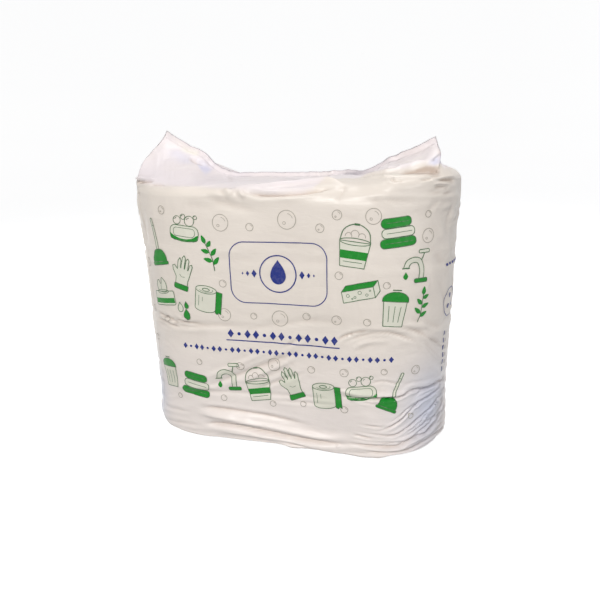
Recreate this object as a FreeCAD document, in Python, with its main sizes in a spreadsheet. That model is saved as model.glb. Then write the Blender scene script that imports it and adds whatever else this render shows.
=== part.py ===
# Wrapped pack of jumbo toilet rolls: eight rolls, two columns side by side and
# four layers high, inside one opaque white plastic film bag.
#
# The sealed bag can't be seen into, so the pack is one solid. Its form:
#  - the film runs tangent round the two roll columns, so its plan is a stadium,
#    a straight front and back between two half-round ends
#  - the lower and upper rims are rounded where the film turns over the roll ends
#  - shallow waists go round the block where one roll layer meets the next
#  - the film closes over the top in a low hipped roof along the middle
#  - the ends of the top seal stand up as two ears, the left one a little taller
#
# Frame: origin at the middle of the base, +Z up, +X to the right along the two
# columns, the printed front faces -Y. Lengths in millimetres.

import FreeCAD, Part
import Sketcher
import math
import os

V = FreeCAD.Vector

doc = FreeCAD.newDocument("roll_pack")

# ---------------------------------------------------------------- dimensions
sheet = doc.addObject("Spreadsheet::Sheet", "dims")
DIMS = [
    ("pack_width", 474.0, "overall width, two 235 mm roll columns and slack film"),
    ("pack_depth", 240.0, "overall depth, one column"),
    ("pack_height", 380.0, "top rim of the film, four 93 mm layers and slack"),
    ("base_round", 12.0, "radius of the lower rim"),
    ("top_round", 16.0, "radius of the upper rim"),
    ("layer_height", 93.0, "pitch of the roll layers"),
    ("waist_half", 11.0, "half height of the waist between two layers"),
    ("waist_depth", 1.5, "how far the film dips at a waist"),
    ("roof_inset", 22.0, "roof foot, in from the rim"),
    ("roof_foot", 374.0, "height at which the roof starts inside the block"),
    ("roof_top", 390.0, "height of the closed film along the middle"),
    ("roof_ridge", 316.0, "length of the roof ridge"),
    ("roof_ridge_w", 10.0, "width of the roof ridge"),
    ("ear_foot", 376.0, "height at which the ears start inside the roof"),
    ("ear_l_out", 231.0, "left ear foot, outer end, from the middle"),
    ("ear_l_in", 104.0, "left ear foot, inner end, from the middle"),
    ("ear_l_tip", 197.0, "left ear tip, from the middle"),
    ("ear_l_top", 453.0, "left ear tip height"),
    ("ear_r_out", 232.0, "right ear foot, outer end, from the middle"),
    ("ear_r_in", 112.0, "right ear foot, inner end, from the middle"),
    ("ear_r_tip", 201.0, "right ear tip, from the middle"),
    ("ear_r_top", 436.0, "right ear tip height"),
    ("ear_thick", 58.0, "ear foot, front to back"),
    ("tip_len", 9.0, "ear tip length"),
    ("tip_thick", 3.0, "ear tip, front to back"),
]
for row, (alias, value, note) in enumerate(DIMS, start=1):
    sheet.set("A%d" % row, alias)
    sheet.set("B%d" % row, str(value))
    sheet.set("C%d" % row, note)
    sheet.setAlias("B%d" % row, alias)
doc.recompute()
d = {alias: float(value) for alias, value, note in DIMS}

body = doc.addObject("PartDesign::Body", "wrapped_pack")
body.Label = "wrapped_pack"
doc.recompute()


def origin_plane(role):
    return [f for f in body.Origin.OriginFeatures if f.Role == role][0]


def new_sketch(name, role, offset=None):
    sk = body.newObject("Sketcher::SketchObject", name)
    sk.AttachmentSupport = [(origin_plane(role), "")]
    sk.MapMode = "FlatFace"
    if offset:
        sk.setExpression("AttachmentOffset.Base.z", offset)
    return sk


def bind(sk, index, name, expression):
    sk.renameConstraint(index, name)
    sk.setExpression("Constraints." + name, expression)


def stadium(sk, width, depth, width_expr, depth_expr):
    """A stadium centred on the origin: two half circles joined by two tangent lines."""
    r = depth / 2.0
    hx = width / 2.0 - r
    z = V(0, 0, 1)
    sk.addGeometry(Part.ArcOfCircle(Part.Circle(V(hx, 0, 0), z, r), -math.pi / 2, math.pi / 2), False)
    sk.addGeometry(Part.LineSegment(V(hx, r, 0), V(-hx, r, 0)), False)
    sk.addGeometry(Part.ArcOfCircle(Part.Circle(V(-hx, 0, 0), z, r), math.pi / 2, 3 * math.pi / 2), False)
    sk.addGeometry(Part.LineSegment(V(-hx, -r, 0), V(hx, -r, 0)), False)
    C = Sketcher.Constraint
    sk.addConstraint(C("Tangent", 0, 2, 1, 1))
    sk.addConstraint(C("Tangent", 1, 2, 2, 1))
    sk.addConstraint(C("Tangent", 2, 2, 3, 1))
    sk.addConstraint(C("Tangent", 3, 2, 0, 1))
    sk.addConstraint(C("Symmetric", 0, 3, 2, 3, -1, 1))
    sk.addConstraint(C("PointOnObject", 0, 3, -1))
    i = sk.addConstraint(C("Radius", 0, r))
    bind(sk, i, "end_radius", "(%s) / 2 * 1 mm" % depth_expr)
    i = sk.addConstraint(C("DistanceX", 2, 3, 0, 3, 2 * hx))
    bind(sk, i, "centre_gap", "((%s) - (%s)) * 1 mm" % (width_expr, depth_expr))


def oblong(sk, x0, x1, thick, x0_expr, x1_expr, thick_expr):
    """A rectangle from x0 to x1, evenly either side of the X axis. x0 < x1, both on one side of the origin."""
    h = thick / 2.0
    pts = [V(x0, -h, 0), V(x1, -h, 0), V(x1, h, 0), V(x0, h, 0)]
    for a, b in ((0, 1), (1, 2), (2, 3), (3, 0)):
        sk.addGeometry(Part.LineSegment(pts[a], pts[b]), False)
    C = Sketcher.Constraint
    for a, b in ((0, 1), (1, 2), (2, 3), (3, 0)):
        sk.addConstraint(C("Coincident", a, 2, b, 1))
    for g in (0, 2):
        sk.addConstraint(C("Horizontal", g))
    sk.addConstraint(C("Vertical", 3))
    sk.addConstraint(C("Symmetric", 1, 1, 1, 2, -1))
    i = sk.addConstraint(C("DistanceY", 1, 1, 1, 2, thick))
    bind(sk, i, "thick", "(%s) * 1 mm" % thick_expr)
    # signed distances from the origin, kept positive for the solver
    if x0 >= 0:
        i = sk.addConstraint(C("DistanceX", -1, 1, 0, 1, x0))
        bind(sk, i, "near_end", "(%s) * 1 mm" % x0_expr)
        i = sk.addConstraint(C("DistanceX", -1, 1, 0, 2, x1))
        bind(sk, i, "far_end", "(%s) * 1 mm" % x1_expr)
    else:
        i = sk.addConstraint(C("DistanceX", 0, 1, -1, 1, -x0))
        bind(sk, i, "far_end", "(%s) * 1 mm" % x0_expr)
        i = sk.addConstraint(C("DistanceX", 0, 2, -1, 1, -x1))
        bind(sk, i, "near_end", "(%s) * 1 mm" % x1_expr)


# ---------------------------------------------------------------- the block
plan = new_sketch("plan", "XY_Plane")
stadium(plan, d["pack_width"], d["pack_depth"], "dims.pack_width", "dims.pack_depth")
doc.recompute()

block = body.newObject("PartDesign::Pad", "block")
block.Profile = plan
block.setExpression("Length", "dims.pack_height * 1 mm")
doc.recompute()


def rim_edges(feature, z):
    names = []
    for n, e in enumerate(feature.Shape.Edges, start=1):
        if all(abs(v.Point.z - z) < 1e-4 for v in e.Vertexes):
            bb = e.BoundBox
            if bb.ZMax - bb.ZMin < 1e-4:
                names.append("Edge%d" % n)
    return names


lower = body.newObject("PartDesign::Fillet", "lower_rim")
lower.Base = (block, rim_edges(block, 0.0))
lower.setExpression("Radius", "dims.base_round * 1 mm")
doc.recompute()

upper = body.newObject("PartDesign::Fillet", "upper_rim")
upper.Base = (lower, rim_edges(lower, d["pack_height"]))
upper.setExpression("Radius", "dims.top_round * 1 mm")
doc.recompute()

# ---------------------------------------------------------------- layer waists
# A shallow lens is swept round the block at the first layer line, then repeated.
ring = new_sketch("waist_path", "XY_Plane", "dims.layer_height * 1 mm")
stadium(ring, d["pack_width"], d["pack_depth"], "dims.pack_width", "dims.pack_depth")
ring.Visibility = False

lens = new_sketch("waist_profile", "YZ_Plane", "(dims.pack_width - dims.pack_depth) / 2 * 1 mm")
hy = -d["pack_depth"] / 2.0
zc = d["layer_height"]
wh = d["waist_half"]
wd = d["waist_depth"]
corners = [V(hy - 2, zc - wh, 0), V(hy - 2, zc + wh, 0), V(hy, zc + wh, 0), V(hy + wd, zc, 0), V(hy, zc - wh, 0)]
for k in range(5):
    lens.addGeometry(Part.LineSegment(corners[k], corners[(k + 1) % 5]), False)
C = Sketcher.Constraint
for k in range(5):
    lens.addConstraint(C("Coincident", k, 2, (k + 1) % 5, 1))
lens.addConstraint(C("Vertical", 0))
lens.addConstraint(C("Horizontal", 1))
lens.addConstraint(C("Horizontal", 4))
lens.addConstraint(C("Vertical", 1, 2, 3, 2))
i = lens.addConstraint(C("DistanceX", 1, 2, -1, 1, -hy))
bind(lens, i, "front_face", "dims.pack_depth / 2 * 1 mm")
i = lens.addConstraint(C("DistanceX", 1, 1, 1, 2, 2.0))
lens.renameConstraint(i, "outside")
i = lens.addConstraint(C("DistanceX", 2, 1, 2, 2, wd))
bind(lens, i, "dip", "dims.waist_depth * 1 mm")
i = lens.addConstraint(C("DistanceY", -1, 1, 3, 2, zc - wh))
bind(lens, i, "waist_foot", "(dims.layer_height - dims.waist_half) * 1 mm")
i = lens.addConstraint(C("DistanceY", 3, 2, 3, 1, wh))
bind(lens, i, "lower_half", "dims.waist_half * 1 mm")
i = lens.addConstraint(C("DistanceY", 2, 2, 2, 1, wh))
bind(lens, i, "upper_half", "dims.waist_half * 1 mm")
doc.recompute()

waist = body.newObject("PartDesign::SubtractivePipe", "waist")
waist.Profile = lens
waist.Spine = (ring, ["Edge1", "Edge2", "Edge3", "Edge4"])
waist.Mode = "Standard"
doc.recompute()

waists = body.newObject("PartDesign::LinearPattern", "waists")
waists.Originals = [waist]
waists.Direction = (origin_plane("Z_Axis"), [""])
waists.setExpression("Length", "2 * dims.layer_height * 1 mm")
waists.Occurrences = 3
body.Tip = waists
doc.recompute()
v_before, v_after = upper.Shape.Volume, waists.Shape.Volume
print("one waist took %.0f mm3, three %.0f" % (v_before - waist.Shape.Volume, v_before - v_after))
assert v_before - v_after > 3 * 1000.0, "the waists cut nothing"

# ---------------------------------------------------------------- roof of closed film
foot = new_sketch("roof_foot_plan", "XY_Plane", "dims.roof_foot * 1 mm")
stadium(foot, d["pack_width"] - 2 * d["roof_inset"], d["pack_depth"] - 2 * d["roof_inset"],
        "dims.pack_width - 2 * dims.roof_inset", "dims.pack_depth - 2 * dims.roof_inset")
ridge = new_sketch("roof_ridge_plan", "XY_Plane", "dims.roof_top * 1 mm")
stadium(ridge, d["roof_ridge"], d["roof_ridge_w"], "dims.roof_ridge", "dims.roof_ridge_w")
doc.recompute()
roof = body.newObject("PartDesign::AdditiveLoft", "roof")
roof.Profile = foot
roof.Sections = [ridge]
roof.Ruled = True
doc.recompute()
assert roof.Shape.Volume > v_after + 1000.0, "the roof added nothing"


# ---------------------------------------------------------------- ears of the top seal
def ear(name, side, key):
    base = new_sketch(name + "_foot_plan", "XY_Plane", "dims.ear_foot * 1 mm")
    tip = new_sketch(name + "_tip_plan", "XY_Plane", "dims.%s_top * 1 mm" % key)
    out, inn, at = d[key + "_out"], d[key + "_in"], d[key + "_tip"]
    half = d["tip_len"] / 2.0
    if side > 0:
        oblong(base, inn, out, d["ear_thick"], "dims.%s_in" % key, "dims.%s_out" % key, "dims.ear_thick")
        oblong(tip, at - half, at + half, d["tip_thick"], "dims.%s_tip - dims.tip_len / 2" % key,
               "dims.%s_tip + dims.tip_len / 2" % key, "dims.tip_thick")
    else:
        oblong(base, -out, -inn, d["ear_thick"], "dims.%s_out" % key, "dims.%s_in" % key, "dims.ear_thick")
        oblong(tip, -at - half, -at + half, d["tip_thick"], "dims.%s_tip + dims.tip_len / 2" % key,
               "dims.%s_tip - dims.tip_len / 2" % key, "dims.tip_thick")
    doc.recompute()
    before = body.Shape.Volume
    loft = body.newObject("PartDesign::AdditiveLoft", name)
    loft.Profile = base
    loft.Sections = [tip]
    loft.Ruled = True
    doc.recompute()
    assert loft.Shape.Volume > before + 1000.0, name + " added nothing"
    return loft


ear("left_ear", -1, "ear_l")
last = ear("right_ear", 1, "ear_r")
body.Tip = last
doc.recompute()

# ---------------------------------------------------------------- check and write
bad = [o.Label for o in doc.Objects if "Invalid" in o.State or "Error" in o.State]
assert not bad, "failed objects: %s" % bad

nodes = [body]
os.makedirs("parts", exist_ok=True)
for node in nodes:
    shape = node.Shape
    assert not shape.isNull() and shape.isValid(), node.Label + " is not valid"
    assert len(shape.Solids) == 1, node.Label + " is not one solid"
    bb = shape.BoundBox
    print("%s: %.1f x %.1f x %.1f mm, z %.2f to %.2f, %.0f cm3, %d faces" % (
        node.Label, bb.XLength, bb.YLength, bb.ZLength, bb.ZMin, bb.ZMax, shape.Volume / 1000.0, len(shape.Faces)))
    shape.exportStep("parts/%s.step" % node.Label)
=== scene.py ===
import math

import bpy
import numpy as np
from mathutils import Matrix, Vector
from mathutils.geometry import delaunay_2d_cdt


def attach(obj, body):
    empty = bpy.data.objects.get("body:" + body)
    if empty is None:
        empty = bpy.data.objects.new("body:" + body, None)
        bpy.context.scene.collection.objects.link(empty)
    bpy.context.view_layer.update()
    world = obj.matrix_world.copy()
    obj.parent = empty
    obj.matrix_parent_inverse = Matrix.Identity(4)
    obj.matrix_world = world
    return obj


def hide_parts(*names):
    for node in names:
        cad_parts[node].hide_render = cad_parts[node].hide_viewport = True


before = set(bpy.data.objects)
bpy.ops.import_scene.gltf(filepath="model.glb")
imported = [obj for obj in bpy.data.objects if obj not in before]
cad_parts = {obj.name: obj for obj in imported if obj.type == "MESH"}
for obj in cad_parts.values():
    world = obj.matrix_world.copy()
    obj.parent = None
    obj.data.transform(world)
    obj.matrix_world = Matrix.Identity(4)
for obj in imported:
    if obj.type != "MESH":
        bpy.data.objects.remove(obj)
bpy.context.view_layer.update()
scene = bpy.context.scene
MM = 0.001

# ------------------------------------------------------------------ the viewing angle
AZ, TILT, ROLL = math.radians(-14.8), math.radians(17.5), math.radians(-1.51)
EYE = Vector((0.20017, -0.73489, 0.43266))
look = Vector((math.sin(AZ) * math.cos(TILT), math.cos(AZ) * math.cos(TILT), -math.sin(TILT)))
side = Vector((math.cos(AZ), -math.sin(AZ), 0))
over = side.cross(look)
side, over = side * math.cos(ROLL) + over * math.sin(ROLL), over * math.cos(ROLL) - side * math.sin(ROLL)
cam_data = bpy.data.cameras.new("camera")
cam_data.sensor_width = 36
cam_data.lens = 36 * 503 / 600
cam_data.clip_start, cam_data.clip_end = 0.01, 50
cam = bpy.data.objects.new("camera", cam_data)
cam.matrix_world = Matrix(((side.x, over.x, -look.x, EYE.x), (side.y, over.y, -look.y, EYE.y),
                           (side.z, over.z, -look.z, EYE.z), (0, 0, 0, 1)))
scene.collection.objects.link(cam)
scene.camera = cam

# ------------------------------------------------------------------ the roll stack's outline
A, R = 117.0, 120.0                    # half the straight side and the end radius, mm
FOLD = math.radians(42.1)              # where a corner fold meets the rim
SF = A + R * (math.pi / 2 - FOLD)      # half the front panel
SG = R * FOLD                          # half a gusset
PERI = 4 * (SF + SG)
FIN = 8.0                              # the welded fin above the seal

NF, NG = 103, 21                       # columns in half the front panel, in half a gusset
R_BOT, R_WALL, R_TOP, R_FIN = 22, 148, 60, 5


def plan(s):
    s = np.mod(np.asarray(s, float), PERI)
    q = math.pi * R
    x, y = np.empty_like(s), np.empty_like(s)
    nx, ny = np.empty_like(s), np.empty_like(s)
    m = s < A
    x[m], y[m], nx[m], ny[m] = s[m], -R, 0, -1
    m = (s >= A) & (s < A + q)
    f = -math.pi / 2 + (s[m] - A) / R
    nx[m], ny[m] = np.cos(f), np.sin(f)
    x[m], y[m] = A + R * nx[m], R * ny[m]
    m = (s >= A + q) & (s < 3 * A + q)
    x[m], y[m], nx[m], ny[m] = 2 * A + q - s[m], R, 0, 1
    m = (s >= 3 * A + q) & (s < 3 * A + 2 * q)
    f = math.pi / 2 + (s[m] - 3 * A - q) / R
    nx[m], ny[m] = np.cos(f), np.sin(f)
    x[m], y[m] = -A + R * nx[m], R * ny[m]
    m = s >= 3 * A + 2 * q
    x[m], y[m], nx[m], ny[m] = s[m] - PERI, -R, 0, -1
    return x, y, nx, ny


def smooth(xq, xs, ys):
    """monotone cubic through knots"""
    xs, ys, xq = np.asarray(xs, float), np.asarray(ys, float), np.asarray(xq, float)
    h = np.diff(xs)
    d = np.diff(ys) / h
    m = np.zeros_like(ys)
    m[1:-1] = np.where(d[:-1] * d[1:] > 0, 2 * d[:-1] * d[1:] / (d[:-1] + d[1:] + 1e-12), 0)
    m[0], m[-1] = d[0], d[-1]
    i = np.clip(np.searchsorted(xs, xq) - 1, 0, len(xs) - 2)
    t = np.clip((xq - xs[i]) / h[i], 0, 1)
    return ((1 + 2 * t) * (1 - t) ** 2 * ys[i] + t * (1 - t) ** 2 * h[i] * m[i]
            + t * t * (3 - 2 * t) * ys[i + 1] + t * t * (t - 1) * h[i] * m[i + 1])


# the free edge of the seal, from the left tip to the right tip: x, y, z
SEAL = np.array([(-197, 0, 453), (-183, 0, 444.5), (-169, 0, 436.5), (-157, 0, 430), (-145, 0, 424.5), (-134, 0, 417.5),
                 (-126, 0.5, 409), (-118, 1, 401.5), (-108, 2, 396), (-96, 3, 392), (-78, 3, 390.6), (-50, 2, 390.4),
                 (-15, 2, 390), (20, 2, 390), (52, 1, 390.8), (66, 0, 392.2), (78, 0, 392.6), (90, 0, 391.8),
                 (98, 0, 391), (107, 0, 391.8), (116, 0, 395.2), (124, 0, 399.8), (131, 0, 403), (136, 0, 407.4), (141, 0, 409.6),
                 (148, 0, 411.6), (154, 0, 414.6), (161, 0, 417), (168, 0, 418.6), (175, 0, 421.6), (181, 0, 424), (186, 0, 427.6),
                 (193, 0, 432), (201, 0, 434.5)], float)
_len = np.concatenate([[0], np.cumsum(np.linalg.norm(np.diff(SEAL, axis=0), axis=1))])
SEAL_LEN = _len[-1]


def seal(d):
    """a point on the free edge, d mm from the left tip in the film's own length (0 to 2 SF)"""
    t = np.asarray(d, float) * SEAL_LEN / (2 * SF)
    return np.stack([smooth(t, _len, SEAL[:, k]) for k in range(3)], -1)


def columns():
    """perimeter places of the columns, from the front panel's left fold round to it again"""
    f = np.linspace(-SF, SF, 2 * NF + 1)
    g = np.linspace(SF, SF + 2 * SG, 2 * NG + 1)
    e = np.linspace(0, SG, NG + 1)
    mid = np.linspace(SG, 2 * SF - SG, 62)
    b = SF + 2 * SG + np.concatenate([e, mid[1:-1], 2 * SF - e[::-1]])
    g2 = np.linspace(3 * SF + 2 * SG, 3 * SF + 4 * SG, 2 * NG + 1)
    s = np.concatenate([f[:-1], g[:-1], b[:-1], g2[:-1]])
    edge = np.concatenate([f[:-1] + SF,                                   # along the seal from the left tip
                           2 * SF - (SG - np.abs(g[:-1] - SF - SG)),
                           2 * SF - (b[:-1] - SF - 2 * SG),
                           SG - np.abs(g2[:-1] - 3 * SF - 3 * SG)])
    n = 2 * NF, 2 * NG, len(b) - 1, 2 * NG
    layer = np.concatenate([np.full(n[0], -1.0), g[:-1] * 0, np.full(n[2], 1.0), g2[:-1] * 0])
    k = (g[:-1] - SF - SG) / SG
    layer[n[0]:n[0] + n[1]] = np.clip(k * 12, -0.35, 0.35)
    layer[n[0]] = -1
    k = (g2[:-1] - 3 * SF - 3 * SG) / SG
    layer[-n[3]:] = -np.clip(k * 12, -0.35, 0.35)
    layer[-n[3]] = 1
    return s, edge, layer, n


# how the sheet turns over the rim, along the perimeter: knots of s, then the start of the turn (z),
# the handle above it, the handle's lean outward, and the handle before the seal (share of the way out, rise)
_K = np.array([
    # s        z0   up   out  back  rise
    (-SF,      366, 46, 11.0, 0.36, -24),
    (-190,     365, 30,  5.0, 0.40, -22),
    (-150,     365, 17,  0.0, 0.55, -12),
    (-100,     366, 15,  0.0, 0.66, -3),
    (-50,      366, 15,  0.0, 0.70, -2),
    (0,        365, 17,  0.0, 0.68, -1),
    (38,       358, 25,  0.0, 0.62, 1),
    (66,       347, 40,  0.0, 0.60, 3),
    (110,      345, 42,  0.0, 0.60, 2),
    (140,      358, 31,  0.0, 0.66, -2),
    (162,      371, 20,  0.3, 0.82, -12),
    (190,      376, 16,  0.8, 0.84, -24),
    (SF,       377, 15,  2.0, 0.78, -28),
    (SF + 40,  379, 19,  3.2, 0.60, -6),
    (SF + SG,  379, 20,  2.5, 0.66, 2),
    (SF + 2 * SG - 40, 371, 23, 2.0, 0.56, -4),
    (SF + 2 * SG, 366, 32, 3.0, 0.40, -20),
    (SF + 2 * SG + 40, 364, 20, 1.0, 0.48, -14),
    (SF + 2 * SG + 110, 362, 20, 0.0, 0.62, -2),
    (SF + 2 * SG + 200, 358, 26, 0.0, 0.64, 3),
    (SF + 2 * SG + 300, 364, 17, 0.0, 0.66, -2),
    (SF + 2 * SG + 390, 365, 20, 1.0, 0.50, -12),
    (3 * SF + 2 * SG, 366, 26, 3.0, 0.42, -24),
    (3 * SF + 2 * SG + 40, 367, 20, 1.5, 0.38, -10),
    (3 * SF + 3 * SG, 367, 17, 0.0, 0.55, -8),
    (3 * SF + 4 * SG - 40, 367, 34, 7.0, 0.38, -8),
    (3 * SF + 4 * SG, 366, 46, 11.0, 0.36, -24)], float)
Z_FOOT = 8.0


def bezier(p0, p1, p2, p3, t):
    t = t[:, None, None]
    return (1 - t) ** 3 * p0 + 3 * t * (1 - t) ** 2 * p1 + 3 * t * t * (1 - t) * p2 + t ** 3 * p3


def base_grid():
    s, edge, layer, n = columns()
    x, y, nx, ny = plan(s)
    z0, up, out, back, rise = (smooth(s, _K[:, 0], _K[:, k]) for k in range(1, 6))
    zero = np.zeros_like(s)
    wall0 = np.stack([x, y, z0], -1)
    nrm = np.stack([nx, ny, zero], -1)
    # the seal's free edge, the weld below it and the way the fin leans
    e = seal(edge)
    ear = np.clip((e[:, 2] - 392) / 30, 0, 1)
    t1 = seal(np.clip(edge + 3, 0, 2 * SF)) - seal(np.clip(edge - 3, 0, 2 * SF))
    t1 /= np.linalg.norm(t1, axis=1)[:, None]
    upn = np.cross(np.array([0, -1.0, 0]), t1) * -1
    upn[upn[:, 2] < 0] *= -1
    lean = (1 - ear)[:, None] * np.array([0, 0.75, 0.0])
    u = upn + lean
    u /= np.linalg.norm(u, axis=1)[:, None]
    gap = 0.55 + 0.6 * ear
    e[:, 1] += layer * gap * 0.6
    weld = e - FIN * u
    weld[:, 1] += layer * gap * 0.5
    # top: from the wall over the rim to the weld
    p1 = wall0 + nrm * out[:, None] + np.stack([zero, zero, up], -1)
    rim = wall0 + np.stack([zero, zero, up], -1)
    p2 = weld + (rim - weld) * back[:, None]
    p2[:, 2] = weld[:, 2] + rise
    low = np.minimum(p2[:, 2], 0) * 0 + 384.0
    p2[:, 2] = np.maximum(p2[:, 2], low)
    tt = np.linspace(0, 1, R_TOP + 1)
    tt = tt * (0.75 + 0.25 * tt)                       # closer rows on the turn
    top = bezier(wall0, p1, p2, weld, tt)
    fin = weld[None] + (e - weld)[None] * np.linspace(0, 1, R_FIN + 1)[1:, None, None]
    # foot: from the folded seam under the base out to the wall
    foot = np.stack([x, y, zero + Z_FOOT], -1)
    dd = edge * 0.945 - SF * 0.945
    tucked = np.abs(layer) < 0.9                       # the gusset's layers lie above the outer flaps
    zb = 0.7 + np.where(tucked, 1.8, 0.0)
    zb_rim = np.full_like(s, 0.7)
    seam = np.stack([dd, layer * 0.5, zb], -1)
    c = np.stack([x, y, zb_rim], -1)
    q1 = seam + (c - seam) * 0.93
    q1[:, 2] = np.where(tucked, zb, zb * 0.4 + zb_rim * 0.6)
    q2 = c + np.array([0, 0, 3.5])
    tb = np.r_[0, 0.004, 1 - (1 - np.linspace(0, 1, R_BOT)[1:]) ** 1.6]      # a narrow row keeps the seam's edge crisp
    bot = bezier(seam, q1, q2, foot, tb)
    # rows lie closer where the film is gathered low down than across the smooth middle
    w = smooth(np.linspace(0, 1, R_WALL + 1), [0, 0.43, 0.655, 0.85, 1], [0, 0.313, 0.536, 0.816, 1])[1:-1, None, None]
    wall = foot[None] * (1 - w) + wall0[None] * w
    B = np.concatenate([bot, wall, top, fin], 0)
    seg = np.linalg.norm(np.diff(B, axis=0), axis=2)
    H = np.concatenate([np.zeros((1, len(s))), np.cumsum(seg, 0)], 0)
    H += Z_FOOT - H[R_BOT]
    return s, B, H, n, ear


# ------------------------------------------------------------------ folds and waves in the sheet
S, B, H, NCOL, EAR = base_grid()
ROWS, COLS = H.shape
SG2 = np.broadcast_to(S, H.shape)


def wrap(d):
    return (d + PERI / 2) % PERI - PERI / 2


def lattice(cell_s, cell_h, seed):
    """a smooth random field, periodic round the bag, about -1 to 1"""
    r = np.random.default_rng(seed)
    ns, nh = max(4, round(PERI / cell_s)), int(900 / cell_h) + 4
    v = r.uniform(-1, 1, (nh, ns))
    u, w = np.mod(SG2, PERI) / PERI * ns, (H + 200) / cell_h
    i, j = np.floor(u).astype(int), np.clip(np.floor(w).astype(int), 0, nh - 2)
    fu, fw = u - i, np.clip(w - j, 0, 1)
    fu, fw = fu * fu * fu * (fu * (6 * fu - 15) + 10), fw * fw * fw * (fw * (6 * fw - 15) + 10)
    i0, i1 = i % ns, (i + 1) % ns
    return ((v[j, i0] * (1 - fu) + v[j, i1] * fu) * (1 - fw)
            + (v[j + 1, i0] * (1 - fu) + v[j + 1, i1] * fu) * fw)


def line_through(pts, step=2.5):
    """a smooth line through given points, with the share of its length at each"""
    p = np.asarray(pts, float)
    d = np.concatenate([[0], np.cumsum(np.linalg.norm(np.diff(p, axis=0), axis=1))])
    n = max(3, int(d[-1] / step))
    t = np.linspace(0, d[-1], n)
    if len(p) == 2:
        q = p[0] + (p[1] - p[0]) * (t / d[-1])[:, None]
    else:
        q = np.stack([smooth_open(t, d, p[:, k]) for k in range(p.shape[1])], -1)
    return q, t / d[-1]


def smooth_open(xq, xs, ys):
    """a rounded curve through knots that may overshoot a little, as a pencil line does"""
    h = np.diff(xs)
    d = np.diff(ys) / h
    m = np.empty_like(ys)
    m[1:-1] = (d[:-1] * h[1:] + d[1:] * h[:-1]) / (h[:-1] + h[1:])
    m[0], m[-1] = d[0], d[-1]
    i = np.clip(np.searchsorted(xs, xq) - 1, 0, len(xs) - 2)
    t = (xq - xs[i]) / h[i]
    return ((1 + 2 * t) * (1 - t) ** 2 * ys[i] + t * (1 - t) ** 2 * h[i] * m[i]
            + t * t * (3 - 2 * t) * ys[i + 1] + t * t * (t - 1) * h[i] * m[i + 1])


D = np.zeros_like(H)


def fold(pts, high, wide, ends=(0.25, 0.25), sharp=1.5, under=0.0, field=None):
    """a crease or ridge along a line (s, h): its height, its width on each side, how it dies out at
    the ends, and the shallow trough beside it"""
    out = D if field is None else field
    q, share = line_through(pts)
    wl, wr = wide if isinstance(wide, tuple) else (wide, wide)
    reach = 3.6 * max(wl, wr) * (1.6 if under else 1)
    ds = wrap(SG2 - q[:, 0].mean())
    half = (q[:, 0].max() - q[:, 0].min()) / 2 + reach
    near = (np.abs(ds + q[:, 0].mean() - (q[:, 0].max() + q[:, 0].min()) / 2) < half) & \
           (H > q[:, 1].min() - reach) & (H < q[:, 1].max() + reach)
    if not near.any():
        return
    px = (ds[near] + q[:, 0].mean())[:, None]
    py = H[near][:, None]
    a, b = q[:-1], q[1:]
    vx, vy = b[:, 0] - a[:, 0], b[:, 1] - a[:, 1]
    ll = vx * vx + vy * vy + 1e-9
    t = np.clip(((px - a[:, 0]) * vx + (py - a[:, 1]) * vy) / ll, 0, 1)
    ex, ey = px - (a[:, 0] + t * vx), py - (a[:, 1] + t * vy)
    dist = np.sqrt(ex * ex + ey * ey)
    k = dist.argmin(1)
    row = np.arange(len(k))
    d = dist[row, k]
    left = (vx[k] * ey[row, k] - vy[k] * ex[row, k]) > 0
    w = np.where(left, wl, wr)
    f = share[k] + t[row, k] * (share[k + 1] - share[k])
    g = np.ones_like(f)
    if ends[0] > 0:
        g *= np.clip(f / ends[0], 0, 1)
    if ends[1] > 0:
        g *= np.clip((1 - f) / ends[1], 0, 1)
    g = g * g * (3 - 2 * g)
    z = np.exp(-(d / w) ** sharp)
    if under:
        z = z - under * np.exp(-((d - 2.2 * w) / (1.1 * w)) ** 2)
    out[near] += high * g * z


def bump(s0, h0, rs, rh, high, turn=0.0, field=None):
    out = D if field is None else field
    c, t = math.cos(turn), math.sin(turn)
    a, b = wrap(SG2 - s0), H - h0
    out += high * np.exp(-((a * c + b * t) / rs) ** 2 - ((b * c - a * t) / rh) ** 2)


def band(lo, hi, soft):
    return 1 / (1 + np.exp(-(H - lo) / soft)) / (1 + np.exp((H - hi) / soft))

# ------------------------------------------------------------------ cloth: the film let go slack over the rolls
FRAMES = 22


def roll_stack(inset):
    """the stack the film hangs on: four layers of rolls in the bag's outline, their edges rounded"""
    ss = np.linspace(0, PERI, 160, endpoint=False)
    x, y, nx, ny = plan(ss)
    prof = []
    for k in range(4):
        z0, z1 = k * 94 + 1.0, (k + 1) * 94 - 1.0
        prof += [(z0, 7.0), (z0 + 1.5, 2.2), (z0 + 5, 0.4), (z0 + 12, 0.0), (z1 - 12, 0.0), (z1 - 5, 0.4), (z1 - 1.5, 2.2), (z1, 7.0)]
    v, f, m = [], [], len(ss)
    for z, d in prof:
        v += [((x[i] - nx[i] * (inset + d)) * 0.01, (y[i] - ny[i] * (inset + d)) * 0.01, z * 0.01) for i in range(m)]
    for k in range(len(prof) - 1):
        f += [(k * m + i, k * m + (i + 1) % m, (k + 1) * m + (i + 1) % m, (k + 1) * m + i) for i in range(m)]
    v.append((0, 0, prof[-1][0] * 0.01))
    k = (len(prof) - 1) * m
    f += [(k + i, k + (i + 1) % m, len(v) - 1) for i in range(m)]
    me = bpy.data.meshes.new("rolls")
    me.from_pydata(v, [], f)
    me.update()
    return bpy.data.objects.new("rolls", me)


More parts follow.
